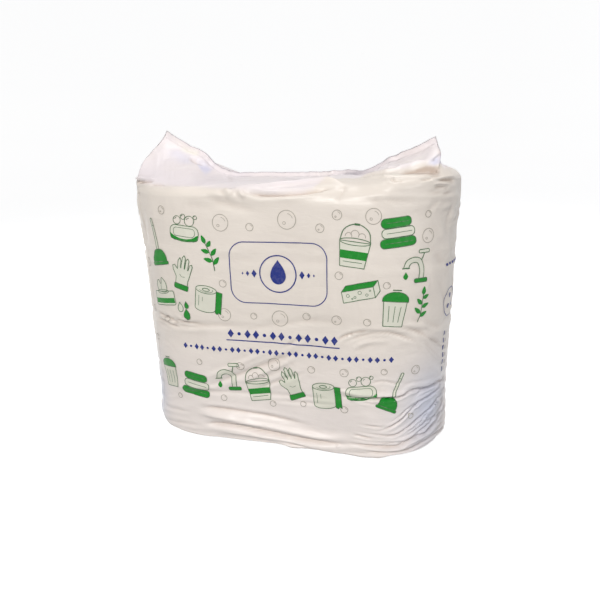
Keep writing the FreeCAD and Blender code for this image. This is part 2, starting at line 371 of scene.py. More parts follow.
def hang():
    """where a slack film would go, mm off the base sheet, at every point of the grid. It is simulated on
    a coarser grid, ten times full size, which suits the solver, and held at the foot and at the seal"""
    cols = np.r_[0:2 * NF:2, 2 * NF:COLS]
    rows = np.r_[R_BOT:ROWS - R_FIN:2, ROWS - R_FIN]
    C = B[np.ix_(rows, cols)]
    nr, nc = C.shape[:2]
    ids = np.arange(nr * nc).reshape(nr, nc)
    a, b = ids[:-1], ids[1:]
    quads = np.stack([a, np.roll(a, -1, 1), np.roll(b, -1, 1), b], -1).reshape(-1, 4)
    me = bpy.data.meshes.new("slack")
    me.from_pydata((C.reshape(-1, 3) * 0.01).tolist(), [], quads.tolist())
    me.update()
    ob = bpy.data.objects.new("slack", me)
    scene.collection.objects.link(ob)
    rolls = roll_stack(2.0)
    scene.collection.objects.link(rolls)
    rolls.modifiers.new("hit", "COLLISION")
    rolls.collision.thickness_outer = 0.012
    rolls.collision.cloth_friction = 8
    rolls.collision.damping = 0.5
    held = ob.vertex_groups.new(name="held")
    held.add(ids[0].tolist() + ids[-1].tolist(), 1.0, "REPLACE")
    held.add(ids[-2].tolist(), 0.6, "REPLACE")
    cl = ob.modifiers.new("film", "CLOTH")
    s = cl.settings
    s.quality, s.mass = 4, 0.12
    s.tension_stiffness = s.compression_stiffness = 25
    s.shear_stiffness, s.bending_stiffness = 8, 0.06
    s.tension_damping = s.compression_damping = 8
    s.shear_damping, s.bending_damping = 6, 0.6
    s.vertex_group_mass, s.pin_stiffness = "held", 1.0
    s.shrink_min = -0.022
    s.effector_weights.gravity = 0.35
    s.air_damping = 2
    c = cl.collision_settings
    c.use_collision, c.collision_quality, c.distance_min, c.use_self_collision = True, 2, 0.012, False
    cl.point_cache.frame_start, cl.point_cache.frame_end = 1, FRAMES
    for k in range(1, FRAMES + 1):
        scene.frame_set(k)
    shape = ob.evaluated_get(bpy.context.evaluated_depsgraph_get())
    tmp = shape.to_mesh()
    co = np.empty(nr * nc * 3, np.float32)
    tmp.vertices.foreach_get("co", co)
    shape.to_mesh_clear()
    for o in (ob, rolls):
        data = o.data
        bpy.data.objects.remove(o)
        bpy.data.meshes.remove(data)
    scene.frame_set(1)
    d = co.reshape(nr, nc, 3).astype(float) * 100 - C

    # keep the wrinkles, drop the slow sag, which the base sheet already has
    sc, hc = S[cols], H[rows].mean(1)
    ks = np.exp(-0.5 * (wrap(sc[:, None] - sc[None]) / 34) ** 2) * np.gradient(np.r_[sc, sc[0] + PERI])[:-1]
    kh = np.exp(-0.5 * ((hc[:, None] - hc[None]) / 34) ** 2) * np.gradient(hc)
    ks /= ks.sum(1)[:, None]
    kh /= kh.sum(1)[:, None]
    slow = np.einsum("ij,jkc->ikc", kh, d)
    slow = np.einsum("lk,ikc->ilc", ks, slow)
    d = d - 0.9 * slow
    size = np.linalg.norm(d, axis=2)[..., None] + 1e-9
    d *= 6.0 * np.tanh(size / 6.0) / size

    # back to the full grid
    at = np.arange(ROWS, dtype=float)
    full = np.zeros((ROWS, nc, 3))
    for k in range(3):
        for j in range(nc):
            full[:, j, k] = np.interp(at, rows, d[:, j, k], left=0, right=0)
    out = np.zeros((ROWS, COLS, 3))
    cc = np.r_[cols, COLS]
    for k in range(3):
        for i in range(R_BOT, ROWS - R_FIN + 1):
            out[i, :, k] = np.interp(np.arange(COLS), cc, np.r_[full[i, :, k], full[i, 0, k]])
    for _ in range(1):
        out[1:-1] = 0.25 * out[:-2] + 0.5 * out[1:-1] + 0.25 * out[2:]
        out = 0.25 * np.roll(out, 1, 1) + 0.5 * out + 0.25 * np.roll(out, -1, 1)
    return out



HAND = [
    ([(-217, 384), (-192, 386), (-173, 390)], -2.6, 1.8, (0, 0.35), 1.4, 0.3),  # rim pleat
    ([(-182, 381), (-167, 384), (-148, 384)], -1.6, 1.6, (0.3, 0.4), 1.4, 0.3),  # rim pleat 2
    ([(-215, 388), (-188, 392), (-167, 392)], 1.6, 3, (0, 0.4), 1.6, 0),  # rim crest
    ([(-160, 381), (-118, 382), (-84, 392), (-61, 407)], 0.9, 3.5, (0.2, 0.3), 1.6, 0),  # left shoulder
    ([(-63, 383), (-53, 371), (-48, 368)], 1.5, 3.2, (0.3, 0.3), 1.6, 0.3),  # rim spot
    ([(-42, 377), (-34, 368), (-30, 366)], 1.2, 2.4, (0.3, 0.3), 1.6, 0.3),  # rim spot 2
    ([(-63, 370), (-46, 379), (-13, 383), (25, 399), (57, 404), (84, 399), (93, 387)], 3.4, (3, 4.6), (0.25, 0.2), 1.6, 0),  # sag ridge
    ([(-36, 374), (-8, 370), (25, 372), (59, 377), (86, 382)], -4.4, 3.4, (0.25, 0.3), 1.6, 0.12),  # sag shade
    ([(86, 379), (93, 384), (91, 368), (82, 359)], -0.9, 3, (0.1, 0.4), 1.6, 0),  # sag tail
    ([(-95, 366), (-55, 357), (-23, 351), (-2, 348)], -1.3, 7, (0.3, 0.4), 1.8, 0),  # diag soft
    ([(-131, 356), (-95, 354), (-59, 348)], -0.6, 6, (0.3, 0.4), 1.8, 0),  # diag soft 2
    ([(-86, 372), (-57, 367), (-38, 360)], 0.7, 4, (0.3, 0.4), 1.8, 0),  # diag soft 3
    ([(89, 364), (118, 368), (165, 366), (205, 364), (272, 358)], 0.35, 2.6, (0.3, 0.1), 1.5, 0.5),  # right line
    ([(106, 360), (139, 361), (190, 358)], -0.5, 4, (0.3, 0.3), 1.8, 0),  # right line low
    ([(78, 414), (116, 414), (154, 406), (165, 414)], 0.8, 4, (0.2, 0.3), 1.6, 0),  # shoulder roll
    ([(97, 446), (124, 429), (148, 426), (169, 438), (188, 442), (205, 429)], 2.1, (2.6, 5), (0.25, 0.2), 1.5, 0),  # ear ridge
    ([(154, 410), (169, 413), (184, 417), (205, 407), (226, 398)], -2.8, 5, (0.3, 0.25), 1.8, 0),  # ear recess
    ([(127, 404), (150, 399), (169, 397), (209, 390), (251, 388)], -0.9, 1.6, (0.3, 0.3), 1.4, 0),  # rim seam
    ([(137, 394), (169, 392), (209, 387), (247, 385)], 0.7, 2.2, (0.3, 0.2), 1.6, 0),  # rim seam lip
    ([(490, 501), (152, 472), (179, 478), (205, 455)], 0.9, 2.2, (0.3, 0.2), 1.5, 0.5),  # ear band 1
    ([(141, 497), (440, 490), (194, 487), (402, 475)], 0.8, 2.4, (0.3, 0.3), 1.5, 0.5),  # ear band 2
    ([(116, 458), (146, 439), (175, 452), (196, 445)], -1.2, 2, (0.3, 0.3), 1.5, 0.3),  # ear band 3
    ([(160, 498), (247, 472), (209, 483)], 0.6, 1.7, (0.3, 0.3), 1.5, 0.5),  # ear band 4
    ([(215, 384), (234, 382), (259, 379)], -2.64, 2.6, (0.35, 0.3), 1.7, 0.35),  # dent a
    ([(207, 374), (222, 374), (242, 372)], -2.09, 2.3, (0.35, 0.3), 1.7, 0.35),  # dent b
    ([(198, 370), (217, 368), (251, 364)], -1.43, 2, (0.35, 0.3), 1.7, 0.35),  # dent c
    ([(188, 386), (198, 386), (211, 387)], -1.32, 1.9, (0.35, 0.3), 1.6, 0.3),  # dent d
    ([(150, 399), (154, 389), (162, 381)], -1.32, 2, (0.3, 0.4), 1.6, 0.4),  # dent e
    ([(156, 389), (162, 386), (169, 384)], -0.99, 1.5, (0.3, 0.4), 1.6, 0.4),  # dent f
    ([(251, 355), (247, 340), (238, 324)], -0.8, 3.5, (0.3, 0.4), 1.8, 0),  # corner flute
    ([(222, 359), (213, 353), (198, 346)], -0.7, 3, (0.3, 0.4), 1.8, 0),  # corner flute 2
    ([(131, 366), (137, 356), (148, 345)], -0.45, 3, (0.2, 0.5), 1.8, 0),  # fan a
    ([(139, 366), (154, 355), (167, 346)], 0.4, 2.6, (0.2, 0.5), 1.8, 0),  # fan b
    ([(-211, 378), (-211, 337), (-213, 255), (-205, 178)], -0.9, 1.9, (0.05, 0.3), 1.5, 0.4),  # left corner crease
    ([(-205, 168), (-205, 94), (-203, 20)], -0.7, 1.9, (0.2, 0.2), 1.5, 0.4),  # left corner crease 2
    ([(-203, 486), (-177, 491), (-457, 496), (-135, 496), (-120, 494)], 1.2, 2.6, (0.15, 0.3), 1.5, 0.6),  # earL hem
    ([(-165, 475), (-144, 474), (-129, 483)], -2.2, 6.5, (0.3, 0.3), 1.8, 0),  # earL hollow
    ([(-160, 395), (-175, 420), (-192, 446), (-203, 467)], -0.35, 1, (0.2, 0.4), 1.4, 0.5),  # earL pleat 1
    ([(-150, 437), (-160, 454), (-169, 468)], -0.35, 0.9, (0.3, 0.3), 1.4, 0.5),  # earL pleat 2
    ([(-175, 396), (-190, 416), (-205, 441), (-226, 457)], 0.6, 2.6, (0.2, 0.3), 1.6, 0),  # earL pleat 3
    ([(-146, 393), (-160, 417), (-179, 451)], 0.4, 2, (0.2, 0.4), 1.6, 0.3),  # earL pleat 4
    ([(-114, 432), (-95, 437), (-72, 446), (-57, 474)], -1.1, 2.2, (0.3, 0.4), 1.5, 0.4),  # earL foot 1
    ([(-89, 413), (-68, 423), (-46, 434), (-21, 449)], -0.8, 1.8, (0.3, 0.4), 1.5, 0.4),  # earL foot 2
    ([(-101, 493), (-82, 454), (-68, 423)], -0.7, 1.4, (0.2, 0.4), 1.4, 0.4),  # earL foot 3
    ([(-13, 435), (6, 432), (27, 420)], 0.9, 3.2, (0.35, 0.35), 1.8, 0.3),  # top blister
    ([(-42, 461), (-17, 465), (25, 436), (65, 414)], -0.8, 2, (0.3, 0.3), 1.5, 0.2),  # top crease
    ([(-194, 194), (-171, 191), (-152, 186), (-131, 183)], -2.9, 1.61, (0.2, 0.45), 1.4, 0.4),  # fan 1
    ([(-177, 197), (-158, 191), (-137, 188), (-114, 189)], -2.25, 1.52, (0.2, 0.45), 1.4, 0.4),  # fan 2
    ([(-160, 197), (-146, 191), (-127, 189), (-103, 189)], -1.76, 1.42, (0.25, 0.45), 1.4, 0.4),  # fan 3
    ([(-200, 183), (-179, 183), (-158, 180), (-137, 180)], -1.76, 1.52, (0.2, 0.45), 1.4, 0.4),  # fan 4
    ([(-146, 202), (-133, 194), (-116, 192)], -1.12, 1.33, (0.25, 0.45), 1.4, 0.4),  # fan 5
    ([(-165, 175), (-127, 178), (-89, 184), (-55, 186)], 0.8, 4, (0.3, 0.4), 1.8, 0),  # fan lip
    ([(-203, 175), (-127, 183), (-72, 189), (-27, 189)], -1.3, 4.5, (0.1, 0.4), 1.8, 0),  # waist left
    ([(86, 176), (95, 184), (106, 189), (127, 194), (150, 196)], -2.13, 1.53, (0.2, 0.5), 1.35, 0.45),  # arch 1
    ([(95, 168), (106, 181), (122, 188), (152, 192), (184, 180), (222, 153)], -1.34, 2.07, (0.3, 0.35), 1.6, 0.4),  # arch 2
    ([(106, 164), (118, 174), (139, 180), (162, 178)], 1.08, 2.7, (0.3, 0.4), 1.7, 0.3),  # arch 3
    ([(152, 200), (184, 194), (222, 173), (268, 142)], -1.08, 1.98, (0.3, 0.3), 1.6, 0.4),  # arch 4
    ([(175, 202), (207, 194), (247, 176)], 0.94, 2.88, (0.3, 0.2), 1.8, 0.3),  # arch 5
    ([(173, 185), (203, 168), (234, 142), (264, 119)], 0.94, 2.16, (0.3, 0.3), 1.6, 0.4),  # arch 6
    ([(-51, 184), (8, 196), (65, 204), (106, 200)], -0.91, 5, (0.3, 0.3), 1.8, 0),  # waist mid
    ([(-112, 90), (-68, 109), (-21, 131), (19, 150), (53, 166)], -1.49, 3.42, (0.25, 0.4), 1.7, 0.3),  # sweep 1
    ([(-120, 103), (-78, 119), (-38, 140), (2, 158)], 1.19, 3.8, (0.3, 0.4), 1.8, 0.2),  # sweep 2
    ([(-61, 99), (-21, 119), (15, 139), (36, 155)], 1.04, 2.85, (0.3, 0.4), 1.7, 0.3),  # sweep 3
    ([(-38, 90), (13, 114), (53, 130)], -1.04, 2.47, (0.3, 0.4), 1.7, 0.3),  # sweep 4
    ([(10, 160), (30, 173), (53, 182)], -0.89, 2.28, (0.3, 0.4), 1.7, 0.3),  # sweep 5
    ([(-162, 72), (-97, 83), (-40, 86), (34, 88), (91, 91)], -1.1, 4.2, (0.2, 0.3), 1.8, 0),  # waist low
    ([(-167, 79), (-120, 88), (-76, 90)], 0.9, 3.6, (0.2, 0.4), 1.8, 0),  # low lip
    ([(74, 109), (99, 105), (127, 103), (154, 102), (179, 102), (205, 104)], 2.3, (2, 3.4), (0.3, 0.35), 1.5, 0),  # white ridge
    ([(89, 98), (108, 96), (127, 95), (152, 96), (171, 96), (190, 102), (217, 100), (268, 95)], -2.99, 1.71, (0.2, 0.05), 1.35, 0.35),  # ridge shade
    ([(108, 94), (127, 90), (144, 87)], -1.15, 1.61, (0.3, 0.5), 1.4, 0.3),  # ridge shade 2
    ([(129, 116), (141, 120), (154, 121), (167, 117), (182, 118)], -1.03, 1.61, (0.3, 0.4), 1.4, 0.4),  # ridge 3
    ([(171, 103), (188, 110), (213, 108), (238, 108)], 1.03, 2.09, (0.3, 0.3), 1.5, 0.4),  # ridge 4
    ([(192, 92), (209, 98), (234, 100), (268, 97)], -2.28, 1.9, (0.3, 0), 1.35, 0.4),  # fold back
    ([(-23, 78), (19, 79), (59, 81), (99, 84)], -0.7, 2.4, (0.35, 0.35), 1.7, 0.3),  # under brush
    ([(272, 82), (251, 73), (230, 66), (205, 57), (186, 46), (167, 38), (141, 40), (118, 43)], -2.4, 1.36, (0.05, 0.4), 1.35, 0.4),  # b1
    ([(259, 93), (234, 87), (209, 83), (188, 71), (173, 58), (156, 49), (137, 46)], -3.09, 1.53, (0.05, 0.35), 1.35, 0.4),  # b2
    ([(247, 89), (222, 87), (200, 83), (184, 74), (169, 62), (154, 56)], -1.54, 1.26, (0.15, 0.4), 1.35, 0.4),  # b3
    ([(272, 57), (247, 50), (222, 41), (200, 33), (179, 27), (154, 27), (129, 28), (110, 31)], -2.56, 1.45, (0, 0.4), 1.35, 0.4),  # b4
    ([(272, 47), (247, 38), (222, 31), (194, 28), (173, 22), (150, 22), (116, 23), (91, 24)], -3.62, 1.89, (0, 0.35), 1.35, 0.4),  # b5
    ([(280, 12), (247, 17), (213, 17), (186, 13), (165, 12), (139, 13), (116, 16)], -3.62, 1.8, (0, 0.35), 1.35, 0.4),  # b6
    ([(268, 7), (238, 5), (207, 4), (182, 6), (156, 6), (129, -1)], -2.4, 1.53, (0.05, 0.35), 1.35, 0.4),  # b7
    ([(255, 75), (234, 62), (215, 52), (194, 41), (177, 34)], 2.05, 1.45, (0.1, 0.35), 1.4, 0.4),  # b8
    ([(272, 28), (234, 29), (205, 26), (179, 19)], 2.56, 1.72, (0.05, 0.35), 1.4, 0.35),  # b9
    ([(226, 55), (207, 53), (194, 46), (179, 43)], 1.54, 1.26, (0.3, 0.35), 1.4, 0.4),  # b10
    ([(272, 71), (264, 55), (247, 43), (226, 36)], -1.79, 1.36, (0.1, 0.35), 1.35, 0.4),  # b11
    ([(255, 45), (230, 48), (209, 45), (196, 40)], -1.56, 1.26, (0.2, 0.35), 1.35, 0.4),  # b12
    ([(211, 78), (192, 74), (177, 65), (165, 58)], 1.38, 1.36, (0.25, 0.4), 1.4, 0.4),  # b13
    ([(158, 52), (146, 52), (129, 54), (116, 56)], -1.02, 1.36, (0.3, 0.4), 1.4, 0.4),  # b14
    ([(139, 33), (122, 36), (106, 38)], -1.38, 1.45, (0.3, 0.4), 1.4, 0.4),  # b15
    ([(173, 6), (154, 6), (133, 6), (112, 6), (93, 6)], 1.75, 1.99, (0.3, 0.4), 1.5, 0.3),  # b16
    ([(89, 19), (89, 15)], 1.6, 1.2, (0.1, 0.1), 1.5, 0),  # fleck
    ([(-131, 54), (-78, 55), (-27, 52), (23, 47), (65, 43)], -2.2, 3.2, (0.2, 0.4), 1.6, 0.25),  # foot 1
    ([(-129, 44), (-76, 42), (-25, 37), (27, 32), (76, 29), (116, 34)], 3.3, 4.4, (0.15, 0.35), 1.7, 0.1),  # foot ridge
    ([(-124, 27), (-70, 29), (-17, 24), (36, 20), (82, 20), (122, 23)], -3.7, 3.1, (0.15, 0.3), 1.5, 0.2),  # foot 2
    ([(-103, 17), (-51, 17), (2, 12), (48, -1), (99, 11)], 1.3, 2.8, (0.2, 0.3), 1.6, 0.2),  # foot ridge 2
    ([(-25, 15), (17, 10), (61, 6), (99, 6)], -1.7, 1.6, (0.3, 0.3), 1.4, 0.3),  # foot 3
    ([(-89, 35), (-46, 34), (-4, 29)], -1.35, 1.35, (0.3, 0.4), 1.4, 0.4),  # foot 4
    ([(-198, 37), (-169, 40), (-135, 44)], -0.7, 2.6, (0.1, 0.4), 1.6, 0.3),  # foot left
    ([(-203, 12), (-156, 20), (-118, 24)], -0.7, 2.6, (0.1, 0.4), 1.6, 0.3),  # foot left 2
    ([(-175, 6), (-135, 6), (-91, 8)], 0.6, 2.8, (0.2, 0.3), 1.6, 0.3),  # foot left 3
]
for pts, high, wide, ends, sharp, under in HAND:
    fold(pts, high * 1.75, wide, ends, sharp, under)

# the layers of rolls show as shallow waists, deeper round the ends than across the flat front and back
px_, py_, nx_, ny_ = plan(S)
end_on = np.abs(nx_)[None] ** 1.3
wander = lattice(150, 60, 11)
for zk in (94.0, 188.0, 282.0):
    line = zk + 3.5 * lattice(120, 400, int(zk))
    D -= (0.5 + 0.9 * end_on) * (0.65 + 0.5 * wander) * np.exp(-((H - line) / 5.5) ** 2)
    D += (0.25 + 0.35 * end_on) * (np.exp(-((H - line - 11) / 5) ** 2) + np.exp(-((H - line + 11) / 5) ** 2))
# the sheet spans the gap between the two columns of rolls
gap = np.exp(-(wrap(S) / 34) ** 2) + np.exp(-(wrap(S - PERI / 2) / 34) ** 2)
D -= 1.3 * gap[None] * band(20, 350, 12)

on_wall = band(6, 352, 8)
on_top = 1 / (1 + np.exp(-(H - 386) / 6))
back_side = (py_ > 0)[None] * 1.0
edge_fade = np.clip((H[R_BOT + R_WALL + R_TOP][None] - H) / 26, 0, 1)
edge_fade = edge_fade * edge_fade * (3 - 2 * edge_fade)

D += on_wall * (0.75 * lattice(95, 46, 1) + 0.42 * lattice(44, 20, 2) + 0.13 * lattice(21, 9, 3))
D += on_wall * 0.06 * lattice(9, 6, 4)
D += on_top * edge_fade * (0.9 * lattice(60, 60, 5) + 0.45 * lattice(22, 26, 6) + 0.16 * lattice(9, 12, 7))
# soft tension lines that run from the corners
rise = np.clip((H - 120) / 260, 0, 1)
D += on_wall * 0.35 * lattice(26, 150, 8) * (0.25 + 0.75 * np.abs(nx_)[None]) * (0.4 + 0.6 * rise)


def strew(count, seed, s_span, h_span, length, lean, high, wide):
    """small creases of one kind scattered over a part of the sheet"""
    r = np.random.default_rng(seed)
    for _ in range(count):
        s0, h0 = r.uniform(*s_span), r.uniform(*h_span)
        n, a = r.uniform(*length), math.radians(r.uniform(*lean))
        c = r.uniform(-0.22, 0.22) * n
        dx, dy = math.cos(a), math.sin(a)
        fold([(s0 - dx * n / 2, h0 - dy * n / 2), (s0 - dy * c, h0 + dx * c), (s0 + dx * n / 2, h0 + dy * n / 2)],
             r.uniform(*high) * r.choice([-1, 1]), r.uniform(*wide), (0.4, 0.4), 1.5, 0.4)


# both ends and the back, which the front view does not show: waists gathered between the layers, drag
# lines from the folded corners, and the bunched sheet at the foot
for end, seed in ((SF + SG, 21), (3 * SF + 3 * SG, 22)):
    for zk in (94, 188, 282):
        strew(7, seed * 10 + zk, (end - 80, end + 80), (zk - 9, zk + 9), (26, 60), (-14, 14), (0.5, 1.2), (1.8, 3.0))
    strew(10, seed + 50, (end - 90, end + 90), (8, 70), (40, 95), (-24, 24), (0.8, 1.8), (2.0, 3.4))
    strew(9, seed + 60, (end - 90, end + 90), (330, 376), (22, 60), (-20, 20), (0.7, 1.5), (1.8, 3.0))
    strew(9, seed + 70, (end - 85, end + 85), (110, 340), (50, 120), (60, 120), (0.4, 0.8), (2.6, 4.4))
    strew(8, seed + 80, (end - 60, end + 60), (392, 440), (20, 50), (50, 130), (0.4, 0.9), (1.8, 2.8))
mid_back = PERI / 2
for zk in (94, 188, 282):
    strew(9, 300 + zk, (mid_back - 210, mid_back + 210), (zk - 10, zk + 8), (40, 120), (-10, 10), (0.6, 1.5), (2.2, 3.6))
strew(16, 401, (mid_back - 215, mid_back + 215), (10, 66), (60, 160), (-16, 16), (0.9, 2.2), (2.4, 4.0))
strew(12, 402, (mid_back - 210, mid_back + 210), (100, 350), (60, 150), (-60, 60), (0.5, 1.1), (3.0, 5.0))
strew(12, 403, (mid_back - 205, mid_back + 205), (340, 384), (30, 90), (-18, 18), (0.7, 1.8), (2.2, 3.6))
strew(12, 404, (mid_back - 190, mid_back + 190), (395, 455), (30, 90), (-30, 30), (0.5, 1.1), (2.2, 3.6))
for k, (s0, s1, hh, hi) in enumerate(((-150, -20, 372, 2.4), (10, 150, 378, -2.2), (40, 190, 30, 2.4), (-190, -40, 22, -2.2))):
    c = mid_back + s0, mid_back + s1
    fold([(c[0], hh), ((c[0] + c[1]) / 2, hh - 7), (c[1], hh + 3)], hi, 4.0, (0.3, 0.3), 1.5, 0.35)
# fan of folds where the back's lower corner is gathered
for k in range(7):
    a = mid_back - 205 + 4 * k
    fold([(a - 26, 96 - 9 * k), (a + 30 + 4 * k, 58 - 6 * k), (a + 110 + 8 * k, 30 - 2.6 * k)], (1.6, -1.8)[k % 2], 2.4,
         (0.1, 0.4), 1.4, 0.35)
# small scattered creases on the front, as faint as the film shows them
strew(26, 501, (-205, 205), (200, 345), (16, 60), (-35, 35), (0.12, 0.34), (1.6, 3.2))
strew(30, 502, (-205, 205), (24, 190), (16, 60), (-30, 30), (0.14, 0.42), (1.6, 3.2))
strew(22, 503, (-200, 60), (392, 470), (16, 50), (-40, 60), (0.2, 0.5), (1.4, 2.6))

# the foot swells a little over the floor before it turns under
D += 1.0 * np.exp(-((H - 14) / 12) ** 2)
bump(66, 8, 46, 16, 3.4)
bump(120, 12, 60, 14, 0.8)
bump(182, 16, 34, 26, 2.6)
bump(-198, 20, 34, 34, 4.6)
bump(SF + SG - 30, 60, 60, 80, -1.0)
# stray measure of the real outline: a little slimmer at the right end, fuller at the left
D -= 1.3 * np.exp(-(wrap(S - SF - SG + 10) / 70) ** 2)[None] * band(30, 340, 20)
D += 0.8 * np.exp(-(wrap(S + SF + SG - 10) / 70) ** 2)[None] * band(60, 340, 20)

# the base: folded flaps pressed flat, with a few press creases
under_part = 1 / (1 + np.exp((H - 4) / 2.0))
D *= 1 - 0.9 * under_part
base_w = np.clip((-H) / 20, 0, 1) * np.clip((H - H[0][None]) / 14, 0, 1)
D += base_w * (0.35 * lattice(50, 60, 31) + 0.25 * lattice(24, 24, 32))
D = D * (0.02 + 0.98 * np.clip((H[R_BOT + R_WALL + R_TOP][None] - H) / 7, 0, 1))
D[:1] = 0


def normals(P):
    du = np.roll(P, -1, 1) - np.roll(P, 1, 1)
    dv = np.empty_like(P)
    dv[1:-1], dv[0], dv[-1] = P[2:] - P[:-2], P[1] - P[0], P[-1] - P[-2]
    n = np.cross(du, dv)
    return n / (np.linalg.norm(n, axis=2)[..., None] + 1e-9)


N0 = normals(B)
G = B + N0 * D[..., None]

# the simulated slack, whole on the back and the ends and less on the front and top, where the folds above stand
off_front = np.clip((np.abs(wrap(S)) - 190) / 34, 0, 1)[None]
off_front = off_front * off_front * (3 - 2 * off_front)
behind = np.clip((np.abs(wrap(S)) - SF - 2 * SG + 20) / 50, 0, 1)[None]
share = band(10, 362, 5) * (0.42 + 0.55 * off_front + 1.3 * behind * behind * (3 - 2 * behind))
share *= 1 - 0.5 * (1 - off_front) * np.clip((100 - H) / 40, 0, 1)
gusset = np.clip(1 - np.abs(np.abs(wrap(S - PERI / 2)) - (SF + SG)) / (SG + 30), 0, 1)[None]
over = on_top * edge_fade * (0.25 + 0.6 * off_front) * (1 - 0.85 * np.minimum(1, 3 * gusset))
rim_part = band(355, 395, 6) * (1 - on_top) * 0.3 * (0.4 + 0.6 * off_front)
G += hang() * (share + over + rim_part)[..., None]

# the fin: the free edge wavers along its length, most where it is crumpled on the right of the middle
edge = np.empty(COLS)
s_, e_, layer_, n_ = columns()
t = e_ / (2 * SF)
r = np.random.default_rng(77)
sway, lift = np.zeros(COLS), np.zeros(COLS)
for k in range(3, 40):
    a = r.uniform(0, 2 * math.pi, 2)
    sway += np.sin(2 * math.pi * k * t + a[0]) * 1.0 / (1 + 0.16 * k)
    lift += np.sin(2 * math.pi * k * 1.3 * t + a[1]) * 0.5 / (1 + 0.16 * k)
crumple = 0.35 + 1.3 * np.exp(-((t - 0.66) / 0.07) ** 2) + 0.5 * np.exp(-((t - 0.27) / 0.05) ** 2)
hgt = np.clip((H - (H[R_BOT + R_WALL + R_TOP] - 16)[None]) / 24, 0, 1) ** 1.5
G[..., 1] += hgt * (sway * crumple)[None]
G[..., 2] += hgt * (lift * (0.4 + 0.35 * crumple))[None]
# the right ear's side leans out a little below its tip
side_ = np.clip((SG + 30 - np.abs(wrap(S - SF - SG))) / 30, 0, 1)
G[..., 0] += 4.2 * (side_ * side_ * (3 - 2 * side_))[None] * np.exp(-((B[..., 2] - 411) / 11) ** 2)

# nothing below the floor, and the gusset's tucked layers a little above the outer flaps
G[..., 2] = np.maximum(G[..., 2], 0.35 + 0.25 * (np.abs(layer_) < 0.9)[None])

N = normals(G)

# how deep each place lies under the sheet around it, along the base sheet's normal
off = ((G - B) * N0).sum(2)
round_ = off.copy()
for _ in range(8):
    round_[1:-1] = 0.25 * round_[:-2] + 0.5 * round_[1:-1] + 0.25 * round_[2:]
    round_ = 0.25 * np.roll(round_, 1, 1) + 0.5 * round_ + 0.25 * np.roll(round_, -1, 1)
# painted shade: crease measures how far a place lies below the smoothed sheet, and the hollows of the creases are
# painted darker by it
crease = np.clip((round_ - off - 0.1) / 2.0, 0, 1) * np.clip((H[R_BOT + R_WALL + R_TOP][None] - H) / 20, 0, 1) * (H > 4)


# ------------------------------------------------------------------ one sheet of film as a closed mesh
def film_mesh():
    nf, ng, nb, _ = NCOL
    vid = np.arange(ROWS * COLS).reshape(ROWS, COLS)
    a, b = vid[:-1], vid[1:]
    quads = np.stack([a, np.roll(a, -1, 1), np.roll(b, -1, 1), b], -1).reshape(-1, 4)
    faces = quads.tolist()
    for row in (ROWS - 1, 0):
        v = vid[row]
        extra = []
        f1, g1, b1 = nf, nf + ng, nf + ng + nb
        half = ng // 2
        for k in range(half):                       # right ear: front sheet to gusset, gusset to back sheet
            a0, a1, a2 = f1 - 2 * k, f1 - 2 * k - 1, f1 - 2 * k - 2
            g0, g_1 = f1 + k, f1 + k + 1
            if k:
                extra.append((a0, g0, a1))
            extra.append((a1, f1 + k, g_1, a2))
            p0, p1, q0, q1 = g1 - k, g1 - k - 1, g1 + k, g1 + k + 1
            extra.append((p0, p1, q1) if k == 0 else (p0, p1, q1, q0))
        for k in range(half):                       # left ear
            p0, p1, q0, q1 = b1 - k, b1 - k - 1, b1 + k, b1 + k + 1
            extra.append((p0, p1, q1) if k == 0 else (p0, p1, q1, q0))
            c0, c1, c2 = (2 * k) % COLS, 2 * k + 1, 2 * k + 2
            g0, g_1 = (COLS - k) % COLS, COLS - k - 1
            if k:
                extra.append((c0, g0, c1))
            extra.append((c1, g0, g_1, c2))
        fa, fb = 2 * half, nf - 2 * half
        ba = g1 + half
        m = (fb - fa) // 2
        for j in range(m):                          # the middle: front sheet to back sheet
            c0, c1, c2 = fb - 2 * j, fb - 2 * j - 1, fb - 2 * j - 2
            d0, d1 = ba + j, ba + j + 1
            extra.append((c0, d0, c1))
            extra.append((c1, d0, d1, c2))
        extra.append((fb, f1 + half, ba))
        extra.append((fa, COLS - half, b1 - half))
        faces += [tuple(int(v[i]) for i in f) for f in extra]
    return G.reshape(-1, 3) * MM, faces


verts, faces = film_mesh()
mesh = bpy.data.meshes.new("film_bag")
mesh.from_pydata(verts.tolist(), [], faces)
mesh.update()
import bmesh
bm = bmesh.new()
bm.from_mesh(mesh)
bmesh.ops.recalc_face_normals(bm, faces=bm.faces)
bm.to_mesh(mesh)
bm.free()
mesh.polygons.foreach_set("use_smooth", np.ones(len(mesh.polygons), bool))

